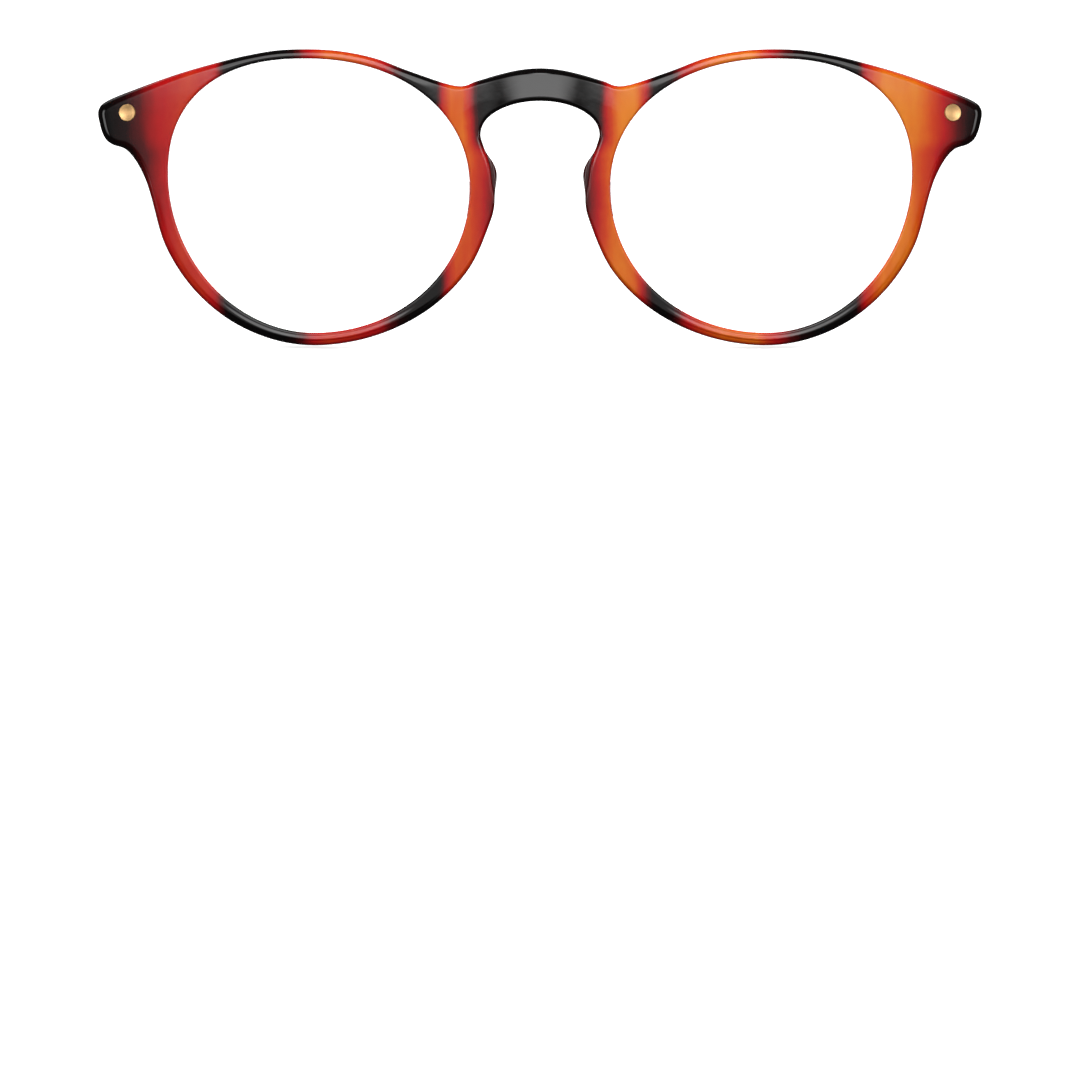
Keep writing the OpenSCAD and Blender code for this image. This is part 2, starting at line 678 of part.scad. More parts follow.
// Knuckles of one leaf: the front has the first, third and fifth, the temple the others
function knuckle_z(k) = hinge_z - hinge_h / 2 + k * (knuckle_h + knuckle_gap);
module screw_bore() {
    translate([hinge_x, hinge_y, hinge_z - hinge_h])
        cylinder(r = screw_r + screw_fit, h = 2 * hinge_h);
}

module front_hinge() {
    color(steel)
        difference() {
            union() {
                translate([hinge_x - front_plate_in, butt_y - plate_t, plate_low])
                    cube([front_plate_len, plate_t, plate_h]);
                for (k = [0:2:4])
                    translate([0, 0, knuckle_z(k)]) {
                        translate([hinge_x, hinge_y, 0])
                            cylinder(r = knuckle_r, h = knuckle_h);
                        translate([hinge_x - knuckle_r, butt_y - plate_t / 2, 0])
                            cube([2 * knuckle_r, hinge_y - butt_y + plate_t / 2, knuckle_h]);
                    }
            }
            screw_bore();
            at_front_rivet()
                rivet_hole(rivet_depth);
        }
}

module temple_hinge() {
    color(steel)
        difference() {
            union() {
                translate([temple_inner_x, temple_y, plate_low])
                    cube([plate_t, temple_plate_len, plate_h]);
                for (k = [1:2:3])
                    translate([0, 0, knuckle_z(k)]) {
                        translate([hinge_x, hinge_y, 0])
                            cylinder(r = knuckle_r, h = knuckle_h);
                        translate([hinge_x, hinge_y - knuckle_r, 0])
                            cube([hinge_reach + plate_t / 2, 2 * knuckle_r, knuckle_h]);
                    }
            }
            screw_bore();
            at_temple_rivet()
                rivet_hole(temple_rivet_depth);
        }
}

// Slotted screw that is put in from the top and pins the knuckles together
module hinge_screw() {
    top = hinge_z + hinge_h / 2;
    color(steel)
        difference() {
            translate([hinge_x, hinge_y, 0]) {
                translate([0, 0, top - hinge_h])
                    cylinder(r = screw_r, h = hinge_h + eps);
                translate([0, 0, top])
                    cylinder(r = screw_head_r, h = screw_head_h);
            }
            translate([hinge_x - 2 * screw_head_r, hinge_y - slot_w / 2, top + screw_head_h / 2])
                cube([4 * screw_head_r, slot_w, screw_head_h]);
        }
}

// One temple, with a pocket for the hinge plate, a channel for the core wire and a rivet hole
module temple() {
    color(tortoise)
        difference() {
            loft(temple_rings, false);
            translate([temple_inner_x - 1, temple_y - 1, plate_low - sink_fit])
                cube([1 + plate_t + sink_fit, 1 + temple_plate_len + sink_fit, plate_h + 2 * sink_fit]);
            core_loft(sink_fit);
            at_temple_rivet()
                rivet_hole(temple_rivet_depth);
        }
}

module core_wire() {
    color(steel)
        core_loft(0);
}

front();
left() lens();  // left_lens
right() lens();  // right_lens
left() nose_pad();  // left_nose_pad
right() nose_pad();  // right_nose_pad
left() front_rivet();  // left_front_rivet
right() front_rivet();  // right_front_rivet
left() front_hinge();  // left_front_hinge
right() front_hinge();  // right_front_hinge
left() hinge_screw();  // left_hinge_screw
right() hinge_screw();  // right_hinge_screw
left() temple();  // left_temple
right() temple();  // right_temple
left() temple_hinge();  // left_temple_hinge
right() temple_hinge();  // right_temple_hinge
left() temple_rivet();  // left_temple_rivet
right() temple_rivet();  // right_temple_rivet
left() core_wire();  // left_core_wire
right() core_wire();  // right_core_wire
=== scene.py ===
# Round tortoiseshell reading glasses with gold rivet dots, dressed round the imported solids.
# Sizes are in millimetres in the upright frame of the face: x across, y back towards the ears,
# z up from the middle of the lenses. placed() stands a mesh on the floor as the solids stand.
import json
import math

import bmesh
import bpy
import numpy as np
from mathutils import Matrix, Vector


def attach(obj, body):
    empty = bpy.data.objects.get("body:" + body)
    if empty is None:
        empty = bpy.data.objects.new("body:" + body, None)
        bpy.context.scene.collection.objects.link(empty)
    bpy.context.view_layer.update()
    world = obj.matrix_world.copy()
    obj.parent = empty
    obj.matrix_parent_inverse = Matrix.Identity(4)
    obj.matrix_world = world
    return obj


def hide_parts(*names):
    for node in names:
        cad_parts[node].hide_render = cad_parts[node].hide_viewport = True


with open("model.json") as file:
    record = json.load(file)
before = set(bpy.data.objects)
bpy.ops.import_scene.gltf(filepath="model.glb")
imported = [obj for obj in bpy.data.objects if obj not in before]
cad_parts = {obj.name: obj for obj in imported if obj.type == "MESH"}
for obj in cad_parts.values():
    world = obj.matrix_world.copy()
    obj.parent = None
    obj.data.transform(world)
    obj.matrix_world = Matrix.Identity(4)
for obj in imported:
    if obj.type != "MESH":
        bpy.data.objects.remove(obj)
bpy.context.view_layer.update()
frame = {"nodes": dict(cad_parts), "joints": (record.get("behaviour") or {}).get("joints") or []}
scene = bpy.context.scene
scene.view_settings.view_transform = "Standard"

# The studio: a back-lit white table, a wide softbox before the face that its flat parts mirror,
# a small bright one over it for the bridge's top, and weaker ones at the sides and behind. The
# surround is white but hardly shows in reflections. The camera looks square at the face.
MM = 0.001
hinge_joint = next(j for j in frame["joints"] if j["name"] == "left_temple_fold")
TILT = math.atan2(hinge_joint["axis"][1], hinge_joint["axis"][2])
HINGE_AT = Vector((61.8, 10.35, 11.9))  # middle of the wearer's left hinge
lean_back = Matrix.Rotation(-TILT, 4, "X")
stand_at = Vector(hinge_joint["pos_m"]) - lean_back @ (HINGE_AT * MM)
stand = Matrix.Translation(stand_at) @ lean_back @ Matrix.Scale(MM, 4)

CAMERA_AWAY, SENSOR_W = 1610, 36
VIEW_WIDTH = 168.75
PAIR_DROP = 53.8


def add_object(name, data):
    obj = bpy.data.objects.new(name, data)
    scene.collection.objects.link(obj)
    return obj


def look(obj, place, target):
    obj.location = place
    obj.rotation_mode = "QUATERNION"
    obj.rotation_quaternion = (target - place).to_track_quat("-Z", "Y")


camera = add_object("camera", bpy.data.cameras.new("camera"))
camera.data.sensor_width = SENSOR_W
camera.data.lens = SENSOR_W * CAMERA_AWAY / VIEW_WIDTH
camera.data.clip_start = 0.05
camera.data.clip_end = 30
look(camera, stand @ Vector((0, -CAMERA_AWAY, 0)), stand @ Vector((0, 0, -PAIR_DROP)))
scene.camera = camera


def node(tree, kind, inputs=(), **settings):
    """A node with its settings made and its inputs, by name or number, set or linked."""
    made = tree.nodes.new(kind)
    for name, value in settings.items():
        setattr(made, name, value)
    for key, value in dict(inputs).items():
        if isinstance(value, bpy.types.NodeSocket):
            tree.links.new(value, made.inputs[key])
        else:
            made.inputs[key].default_value = value
    return made


def calc(tree, operation, *values):
    return node(tree, "ShaderNodeMath", enumerate(values), operation=operation).outputs[0]


def softbox(name, azimuth, elevation, wide, high, radiance, even=(0.5, 0.5), away=1.2):
    """Softbox aimed at the bridge. Its angles are seen from there, off the axis of the face.
    It is even up to a share of its half width and half height and fades out beyond."""
    data = bpy.data.lights.new(name, "AREA")
    data.shape = "RECTANGLE"
    data.size = 2 * away * math.tan(math.radians(wide / 2))
    data.size_y = 2 * away * math.tan(math.radians(high / 2))
    data.energy = radiance * math.pi * data.size * data.size_y
    data.use_nodes = True
    tree = data.node_tree
    spot = tree.nodes.new("ShaderNodeNewGeometry").outputs["Parametric"]
    level = 1.0
    for coordinate, share in zip(node(tree, "ShaderNodeSeparateXYZ", {0: spot}).outputs, even):
        off = calc(tree, "ABSOLUTE", calc(tree, "MULTIPLY_ADD", coordinate, 2.0, -1.0))
        fade = node(tree, "ShaderNodeMapRange", {
            "Value": off, "From Min": 1.0, "From Max": share}, interpolation_type="SMOOTHSTEP").outputs[0]
        level = calc(tree, "MULTIPLY", fade, level)
    tree.links.new(level, tree.nodes["Emission"].inputs["Strength"])
    lamp = add_object(name, data)
    a, e = math.radians(azimuth), math.radians(elevation)
    toward = Vector((math.sin(a) * math.cos(e), -math.cos(a) * math.cos(e), math.sin(e)))
    look(lamp, stand_at + lean_back.to_3x3() @ toward * away, stand_at)
    return lamp


softbox("screen", azimuth=0, elevation=18.6, wide=78, high=24, radiance=3.5, even=(0.3, 0.42))
softbox("key", azimuth=0, elevation=32, wide=24, high=22, radiance=5.0, even=(0.2, 0.4), away=1.1)
softbox("fill", azimuth=0, elevation=0, wide=84, high=50, radiance=0.55, even=(0.5, 0.5), away=1.4)
for azimuth in (-62, 62):
    softbox("side", azimuth, elevation=5, wide=26, high=28, radiance=3.0).visible_diffuse = False
for azimuth in (-140, 140):
    softbox("rear_key", azimuth, elevation=48, wide=40, high=26, radiance=1.0)
softbox("top_fill", azimuth=0, elevation=42, wide=70, high=50, radiance=2.5).visible_glossy = False
softbox("rear_fill", azimuth=180, elevation=30, wide=84, high=50, radiance=1.6).visible_glossy = False

sun = add_object("ceiling", bpy.data.lights.new("ceiling", "SUN"))
sun.data.energy = 1.35
sun.data.angle = math.radians(60)
sun.visible_glossy = False

world = bpy.data.worlds.new("surround")
scene.world = world
world.use_nodes = True
rays = world.node_tree.nodes.new("ShaderNodeLightPath")
strength = 0.08
for ray, level in (("Is Glossy Ray", 0.04), ("Is Transmission Ray", 1.0), ("Is Camera Ray", 1.0)):
    strength = node(world.node_tree, "ShaderNodeMix", {
        "Factor": rays.outputs[ray], "A": strength, "B": level}).outputs["Result"]
backdrop = world.node_tree.nodes["Background"]
backdrop.inputs["Color"].default_value = (1, 1, 1, 1)
world.node_tree.links.new(strength, backdrop.inputs["Strength"])


def new_material(name):
    """A new material, its node tree and its shader."""
    made = bpy.data.materials.new(name)
    made.use_nodes = True
    return made, made.node_tree, made.node_tree.nodes["Principled BSDF"]


FLOOR_HALF = 12
floor_corners = [(x * FLOOR_HALF, y * FLOOR_HALF, 0) for x, y in ((-1, -1), (1, -1), (1, 1), (-1, 1))]
floor_mesh = bpy.data.meshes.new("floor")
floor_mesh.from_pydata(floor_corners, [], [(0, 1, 2, 3)])
floor = add_object("floor", floor_mesh)
floor.visible_glossy = False
floor.visible_diffuse = False
floor_paint, _, floor_shader = new_material("white_table")
floor_shader.inputs["Base Color"].default_value = (0.8, 0.8, 0.8, 1)
floor_shader.inputs["Emission Color"].default_value = (1, 1, 1, 1)
floor_shader.inputs["Emission Strength"].default_value = 0.78
floor_shader.inputs["Roughness"].default_value = 0.9
floor_shader.inputs["Specular IOR Level"].default_value = 0.0
floor_mesh.materials.append(floor_paint)

# The front: rims, keyhole bridge and end pieces milled from one 4 mm sheet of cellulose acetate,
# grooved for the lenses and tumbled until the outer edges are round and glossy.
# Its tortoiseshell runs in upright bands of black, red and amber across the face.
LENS_W, LENS_H, BRIDGE_W = 47.2, 42.8, 22.0
OUTER_Z, INNER_Z = 3.3, 1.2  # heights at which an opening is widest, on its two sides
BROW_LEAN, LOW_LEAN = 2.0, 0.8  # how far outward its top and its bottom lie
# how square each quarter of an opening is; 2 is a quarter of an ellipse
BROW_SQUARE, INNER_SQUARE, LOW_OUTER_SQUARE, LOW_INNER_SQUARE = 2.36, 2.12, 1.95, 2.04
LENS_R, LENS_SET, GROOVE_DEPTH, GROOVE_W, LENS_FIT = 130.0, 1.5, 0.7, 1.3, 0.05
RIM_TOP, RIM_BOTTOM, RIM_TEMPLE, RIM_NOSE = 1.5, 2.0, 2.9, 3.8
TOP_SWELL, NOSE_SWELL, TEMPLE_SWELL = 0.8, 0.7, 0.5  # below 1, a rim widens sooner to its side
FRONT_T, FACE_R, FACE_RISE_R, WRAP = 4.0, 150.0, 260.0, math.radians(3)
# a narrow rim's face is crowned, less at the brow, and the crown's ridge lies to one side
RIM_CROWN, CROWN_FROM, CROWN_FADE = 0.15, 2.0, 1.3
BROW_CROWN_LEAN, LOW_CROWN_LEAN, BROW_FLAT = 0.4, 0.8, 0.85
EDGE_R, LENS_EDGE_R, RIM_BLEND, BACK_BLEND = 0.7, 0.4, 1.4, 2.0
BRIDGE_H, BRIDGE_DROP, DIP, DIP_OUT, BRIDGE_SHARP = 5.1, 3.0, 2.75, 2.1, 0.65
BRIDGE_FORWARD, BRIDGE_R, BRIDGE_EDGE_R = 0.9, 20.0, 0.95
# the bridge's face leans forward towards its underside, less and less out to its ends
BRIDGE_LEAN, LEAN_TO, LEAN_FADE, LEAN_PAST, LEAN_BLEND = 0.06, 7.5, 5.0, 2.0, 2.0
KEYHOLE_W, KEYHOLE_Z = 18.6, 9.7
BRIDGE_FROM, BRIDGE_TO, ARCH_FROM, ARCH_TO = 148, 140, -199, -210  # angles of the lens opening
ARCH_BOW, BOW_SHARP = 1.4, 1.5
BROW_FROM, BROW_BOW = 70, 0.6
END_LEN, END_H, END_Z, BUTT_Y, TIP_R = 11.2, 6.9, 11.5, 9.0, 1.2
BUTT_IN, BUTT_BLEND, BUTT_DOWN, BUTT_BLEND_H = 2.4, 3.1, 13.0, 7.8  # where the back thickens
PLATE_T, SINK_FIT = 1.0, 0.03

LENS_X = (BRIDGE_W + LENS_W) / 2
NOSE_X = BRIDGE_W / 2
EDGE_X = NOSE_X + LENS_W
TIP_X = EDGE_X + END_LEN
BRIDGE_END = BRIDGE_FROM - 360
BRIDGE_Z = LENS_H / 2 + RIM_TOP - BRIDGE_DROP
ARCH_Z = BRIDGE_Z - BRIDGE_H
RIM_Y = FACE_R * math.tan(WRAP) ** 2 / 2


def mix(a, b, t):
    return a + (b - a) * t


def ease(t):
    return (1 - math.cos(math.pi * min(max(t, 0), 1))) / 2


def smooth_min(a, b, k):
    return min(a, b) - max(k - abs(a - b), 0) ** 2 / (4 * k)


def unit(v):
    return v / np.linalg.norm(v)


def opening(angle):
    """Edge of a lens opening at an angle in degrees from the temple side."""
    c, s = math.cos(math.radians(angle)), math.sin(math.radians(angle))
    top, outer = s >= 0, c >= 0
    lean = BROW_LEAN if top else LOW_LEAN
    half_w = LENS_W / 2 + (-lean if outer else lean)
    widest = OUTER_Z if outer else INNER_Z
    half_h = LENS_H / 2 + (-widest if top else widest)
    if top:
        square = BROW_SQUARE if outer else INNER_SQUARE
    else:
        square = LOW_OUTER_SQUARE if outer else LOW_INNER_SQUARE
    return np.array([
        LENS_X + lean + half_w * math.copysign(abs(c) ** (2 / square), c),
        widest + half_h * math.copysign(abs(s) ** (2 / square), s),
    ])


def opening_out(angle):
    """The way out of the opening into the rim, from its points half a degree either side."""
    d = opening(angle - 0.5) - opening(angle + 0.5)
    return unit(np.array([-d[1], d[0]]))


def rim_width(angle):
    c, s = math.cos(math.radians(angle)), math.sin(math.radians(angle))
    side = RIM_NOSE if c < 0 else RIM_TEMPLE
    away = 1 - abs(s)
    if s >= 0:
        return mix(RIM_TOP, side, ease(away ** TOP_SWELL))
    return mix(RIM_BOTTOM, side, ease(away ** (NOSE_SWELL if c < 0 else TEMPLE_SWELL)))


def rim_row(angle, rounding=EDGE_R):
    p = opening(angle) + rim_width(angle) * opening_out(angle)
    return [p[0], p[1], angle, rounding]


# Rows of the outline of the wearer's left half, from the bridge's top by the temple side and the
# keyhole to the bridge's underside: x, z, the lens opening's angle, the edge's rounding
QUARTERS = (0, 0.25, 0.5, 0.75, 1)
dip_x, dip_z = NOSE_X + DIP_OUT, BRIDGE_Z - DIP
rows = []
for t in QUARTERS:
    rise = ((1 + math.cos(math.pi * t)) / 2) ** BRIDGE_SHARP
    angle, rounding = mix(BRIDGE_FROM, BRIDGE_TO, t), mix(BRIDGE_EDGE_R, EDGE_R, t)
    rows.append([dip_x * t, mix(dip_z, BRIDGE_Z, rise), angle, rounding])
rows += [rim_row(a) for a in (126, 112, 98, 84, BROW_FROM)]
# round the end piece: mm from its tip, shares of its height, and of its edge's rounding
tip_rows = [
    [TIP_X - inward, END_Z + up * END_H, angle, share * TIP_R]
    for inward, up, angle, share in (
        (1.7, 0.5, 24, 1), (0.15, 0.28, 20, 1), (0.35, -0.04, 16, 1),
        (1.1, -0.34, 13, 0.9), (2.3, -0.5, 11, 0.9), (4.4, -0.61, 9, 1),
    )
]
brow_start, brow_end = rim_row(BROW_FROM), tip_rows[0]
for t in QUARTERS[1:-1]:
    x, z, angle, rounding = (mix(a, b, t) for a, b in zip(brow_start, brow_end))
    rows.append([x, z + BROW_BOW * math.sin(math.pi * t), angle, rounding])
rows += tip_rows
# from the end piece into the rim: mm past the rim, shares of the end piece's height below it
for past, down, angle, share in ((2.3, 0.86, 6, 1), (0.85, 1.25, 1, 0.5)):
    rows.append([EDGE_X + RIM_TEMPLE + past, END_Z - down * END_H, angle, mix(EDGE_R, TIP_R, share)])
rows += [rim_row(a) for a in range(-8, -169, -16)]
# up beside the nose into the keyhole: shares of the rim's width and of the keyhole's height
for share, up, angle in ((1.03, -0.1, -175), (0.92, 0.23, -181), (0.8, 0.54, -187)):
    rows.append([NOSE_X - share * RIM_NOSE, up * KEYHOLE_Z, angle, EDGE_R])
rows.append([mix(rows[-1][0], KEYHOLE_W / 2, 0.68), 0.81 * KEYHOLE_Z, -192, EDGE_R])
for t in QUARTERS:
    rows.append([
        KEYHOLE_W / 2 * math.cos(math.pi / 2 * t),
        KEYHOLE_Z + (ARCH_Z - KEYHOLE_Z) * math.sin(math.pi / 2 * t),
        mix(ARCH_FROM, ARCH_TO, t),
        EDGE_R,
    ])
rows = [np.array(r, float) for r in rows]
flip = np.array([-1.0, 1, 1, 1])
knots = [rows[1] * flip] + rows + [rows[-2] * flip]
ROW_STEPS = 6


def station(k, t):
    """One station of the outline on a smooth curve through its rows: the row's values there and
    the direction out of the front."""
    o, p, q, r = knots[k:k + 4]
    leave, arrive = (q - o) / 2, (r - p) / 2
    row = (
        p * (2 * t ** 3 - 3 * t ** 2 + 1) + q * (3 * t ** 2 - 2 * t ** 3)
        + leave * (t ** 3 - 2 * t ** 2 + t) + arrive * (t ** 3 - t ** 2)
    )
    d = (q - p) * 6 * (t - t ** 2) + leave * (3 * t ** 2 - 4 * t + 1) + arrive * (3 * t ** 2 - 2 * t)
    return row, unit(np.array([-d[1], d[0]]))


outline = [station(k, s / ROW_STEPS) for k in range(len(rows) - 1) for s in range(ROW_STEPS)]
outline.append(station(len(rows) - 2, 1))
JOIN_STEPS = 10
joins = [
    np.array([
        0,
        mix(ARCH_Z + EDGE_R, BRIDGE_Z - BRIDGE_EDGE_R, s / JOIN_STEPS),
        mix(ARCH_TO, BRIDGE_END, s / JOIN_STEPS),
        0,
    ])
    for s in range(1, JOIN_STEPS)
]


def rim_plan(x):
    return RIM_Y + (x - LENS_X) ** 2 / (2 * FACE_R) + (x - LENS_X) * math.tan(WRAP)


def bridge_plan(x):
    return x ** 2 / (2 * BRIDGE_R) - BRIDGE_FORWARD


def face_y(p):
    x, z = p
    down = smooth_min((ARCH_Z + BRIDGE_Z) / 2 - z, BRIDGE_H / 2 + LEAN_PAST, LEAN_BLEND)
    leant = bridge_plan(x) - BRIDGE_LEAN * down * ease((LEAN_TO - abs(x)) / LEAN_FADE)
    return smooth_min(rim_plan(x), leant, RIM_BLEND) + z ** 2 / (2 * FACE_RISE_R)


def back_y(p):
    """The back follows the face, and is raised to the temple's butt behind the end piece."""
    x, z = p
    share = ease((x - EDGE_X + BUTT_IN) / BUTT_BLEND) * ease((z - END_Z + BUTT_DOWN) / BUTT_BLEND_H)
    plain = smooth_min(rim_plan(x), bridge_plan(x), BACK_BLEND) + z ** 2 / (2 * FACE_RISE_R) + FRONT_T
    return mix(plain, BUTT_Y, share)


def lens_mid(p):
    x, z = p
    return RIM_Y + LENS_SET + (x - LENS_X) * math.tan(WRAP) + ((x - LENS_X) ** 2 + z ** 2) / (2 * LENS_R)


def at(p, y):
    return (p[0], y, p[1])


ACROSS = 12
LIP_TURNS = [math.radians(a) for a in (0, 30, 60, 84, 90)]
EDGE_TURNS = [math.radians(a) for a in (0, 5, 20, 36, 54, 72, 90)]
BRINK_AT = 2 + len(LIP_TURNS) + ACROSS - 1  # places in a loop between which its outer edge lies
BRINK_BACK_AT = BRINK_AT + 2 * len(EDGE_TURNS) - 1


def bow(x, angle):
    """How far the lines that run from a lens opening into the bridge bow upward over the arch."""
    if angle >= ARCH_FROM:
        return 0
    if angle >= ARCH_TO:
        return ARCH_BOW * (2 / math.pi * math.acos(min(x / (KEYHOLE_W / 2), 1))) ** BOW_SHARP
    return ARCH_BOW * (angle - BRIDGE_END) / (ARCH_TO - BRIDGE_END)


def front_section(row, out):
    """Loop of points round the front at one station, from the groove over the face to the back."""
    wall, r = row[:2], row[3]
    brink = wall - out * r
    hole, into = opening(row[2]), opening_out(row[2])
    lip = hole + into * LENS_EDGE_R
    seat = lens_mid(hole)
    crown = RIM_CROWN * ease((CROWN_FROM + CROWN_FADE - np.linalg.norm(wall - hole)) / CROWN_FADE)
    crown *= 1 - BROW_FLAT * max(into[1], 0)
    skew = 1 - (BROW_CROWN_LEAN if into[1] > 0 else LOW_CROWN_LEAN) * into[1]
    lift = np.array([0, 4 * bow(wall[0], row[2])])
    lips = [
        (hole + into * LENS_EDGE_R * (1 - math.cos(t)), LENS_EDGE_R * (1 - math.sin(t)))
        for t in LIP_TURNS
    ]
    flats = [
        (mix(lip, brink, s) + lift * s * (1 - s), crown * math.sin(math.pi * s ** skew))
        for s in (k / ACROSS for k in range(1, ACROSS))
    ]
    edges = [(brink + out * r * math.sin(t), r * (1 - math.cos(t))) for t in EDGE_TURNS]
    loop = [at(hole + into * GROOVE_DEPTH, seat), at(hole, seat - GROOVE_W / 2)]
    loop += [at(p, face_y(p) + d) for p, d in lips]
    loop += [at(p, face_y(p) - d) for p, d in flats]
    loop += [at(p, face_y(p) + d) for p, d in edges]
    loop += [at(p, back_y(p) - d) for p, d in reversed(edges)]
    loop += [at(p, back_y(p)) for p, d in reversed(flats)]
    loop += [at(p, back_y(p) - d) for p, d in reversed(lips)]
    loop += [at(hole, seat + GROOVE_W / 2)]
    return loop


WELD = 0.0005


def closed_up(me):
    """The mesh with its doubles merged and its faces turned outwards."""
    b = bmesh.new()
    b.from_mesh(me)
    bmesh.ops.remove_doubles(b, verts=b.verts, dist=WELD)
    bmesh.ops.dissolve_degenerate(b, edges=b.edges, dist=WELD)
    bmesh.ops.recalc_face_normals(b, faces=b.faces)
    b.to_mesh(me)
    b.free()
    return me


def mesh_from(name, verts, faces):
    me = bpy.data.meshes.new(name)
    me.from_pydata(verts, [], faces)
    return closed_up(me)


def applied(obj):
    """The object's mesh with its modifiers applied and removed."""
    bpy.context.view_layer.update()
    graph = bpy.context.evaluated_depsgraph_get()
    me = bpy.data.meshes.new_from_object(obj.evaluated_get(graph))
    obj.modifiers.clear()
    obj.data = me
    return me


def placed(obj, side=1):
    """Stands a mesh drawn for the wearer's left as the solids stand, mirrored for side -1."""
    if side < 0:
        obj.data.transform(Matrix.Scale(-1, 4, (1, 0, 0)))
        obj.data.flip_normals()
    obj.data.transform(stand)


def smooth(obj, sharp_above=40):
    obj.data.shade_smooth()
    obj.data.set_sharp_from_angle(angle=math.radians(sharp_above))


def cut(obj, cutter):
    """Cuts one closed mesh out of another."""
    knife = obj.modifiers.new("cut", "BOOLEAN")
    knife.operation = "DIFFERENCE"
    knife.solver = "EXACT"
    knife.object = cutter
    applied(obj)
    bpy.data.objects.remove(cutter)


def box_cutter(low, high):
    me = bpy.data.meshes.new("cutter")
    b = bmesh.new()
    bmesh.ops.create_cube(b, size=1)
    middle = (Vector(low) + Vector(high)) / 2
    size = Vector(high) - Vector(low)
    for v in b.verts:
        v.co = Vector(v.co[i] * size[i] for i in range(3)) + middle
    b.to_mesh(me)
    b.free()
    return add_object("cutter", me)


def round_cutter(start, along, radius, length):
    me = bpy.data.meshes.new("cutter")
    b = bmesh.new()
    turn = Vector(along).to_track_quat("Z", "Y").to_matrix().to_4x4()
    middle = Vector(start) + Vector(along) * length / 2
    bmesh.ops.create_cone(
        b, cap_ends=True, segments=64, radius1=radius, radius2=radius, depth=length,
        matrix=Matrix.Translation(middle) @ turn,
    )
    b.to_mesh(me)
    b.free()
    return add_object("cutter", me)


loops = [front_section(row, out) for row, out in outline]
loops += [front_section(row, np.zeros(2)) for row in joins]
ring = len(loops[0])
half_verts = [p for loop in loops for p in loop]
half_faces = []
for i in range(len(loops)):
    a, b = i * ring, (i + 1) % len(loops) * ring
    for j in range(ring):
        if i >= len(outline) - 1 and BRINK_AT <= j < BRINK_BACK_AT:
            continue
        k = (j + 1) % ring
        half_faces.append((a + j, a + k, b + k, b + j))
count = len(half_verts)
front = add_object("acetate_front", mesh_from(
    "acetate_front",
    half_verts + [(-x, y, z) for x, y, z in half_verts],
    half_faces + [tuple(count + v for v in reversed(f)) for f in half_faces],
))

RIVET_IN, RIVET_UP = 4.7, 1.1
RIVET_R, RIVET_HEAD_T, RIVET_SHANK_R, RIVET_PROUD, RIVET_DISH = 2.75 / 2, 0.9, 0.65, 0.08, 0.2
KNUCKLE_H, KNUCKLE_GAP, FRONT_PLATE_IN, FRONT_PLATE_W = 0.9, 0.05, 2.8, 7.2
CUT_PAST = 1.0  # how far a cutter reaches past the face that it starts or ends at
rivet_x, rivet_z = TIP_X - RIVET_IN, HINGE_AT.z + RIVET_UP
rivet_face_y = face_y((rivet_x, rivet_z))
hinge_h = 5 * KNUCKLE_H + 4 * KNUCKLE_GAP
plate_low, plate_high = HINGE_AT.z - hinge_h / 2 - SINK_FIT, HINGE_AT.z + hinge_h / 2 + SINK_FIT
for side in (1, -1):
    near = side * (HINGE_AT.x - FRONT_PLATE_IN - SINK_FIT)
    far = side * (HINGE_AT.x - FRONT_PLATE_IN + FRONT_PLATE_W + SINK_FIT)
    cut(front, box_cutter(
        (min(near, far), BUTT_Y - PLATE_T - SINK_FIT, plate_low),
        (max(near, far), BUTT_Y + CUT_PAST, plate_high),
    ))
    for start, radius, length in (
        (CUT_PAST, RIVET_SHANK_R, BUTT_Y),
        (rivet_face_y - 2 * CUT_PAST, RIVET_R, 2 * CUT_PAST + RIVET_HEAD_T + SINK_FIT),
    ):
        cut(front, round_cutter((side * rivet_x, start, rivet_z), (0, 1, 0), radius + SINK_FIT, length))
front.data.transform(stand)
smooth(front)


def upright_mm(tree):
    """The point in millimetres in the upright frame of the face."""
    turn = lean_back.inverted()
    return node(tree, "ShaderNodeMapping", {
        "Vector": tree.nodes.new("ShaderNodeTexCoord").outputs["Object"],
        "Scale": (1 / MM, 1 / MM, 1 / MM),
        "Rotation": turn.to_euler(),
        "Location": -(turn @ stand_at) / MM,
    }).outputs[0]


def noise(tree, spot, size, detail=3.0, roughness=0.5, stretch=(1, 1, 1)):
    """Noise from -0.5 to 0.5 with blotches of about the given size in mm."""
    spot = node(tree, "ShaderNodeMapping", {
        "Vector": spot, "Scale": [1 / (size * s) for s in stretch]}).outputs[0]
    value = node(tree, "ShaderNodeTexNoise", {
        "Vector": spot, "Scale": 1.0, "Detail": detail, "Roughness": roughness}).outputs[0]
    return calc(tree, "SUBTRACT", value, 0.5)


def polish(tree, shader, roughness, marks, vary):
    """Roughness that varies by that much with the polishing marks."""
    tree.links.new(calc(tree, "MULTIPLY_ADD", marks, vary, roughness), shader.inputs["Roughness"])


def ripple(tree, shader, height, strength, depth):
    """Unevenness of the surface, with its depth in mm."""
    bump = node(tree, "ShaderNodeBump", {"Height": height, "Strength": strength, "Distance": depth * MM})
    tree.links.new(bump.outputs[0], shader.inputs["Normal"])


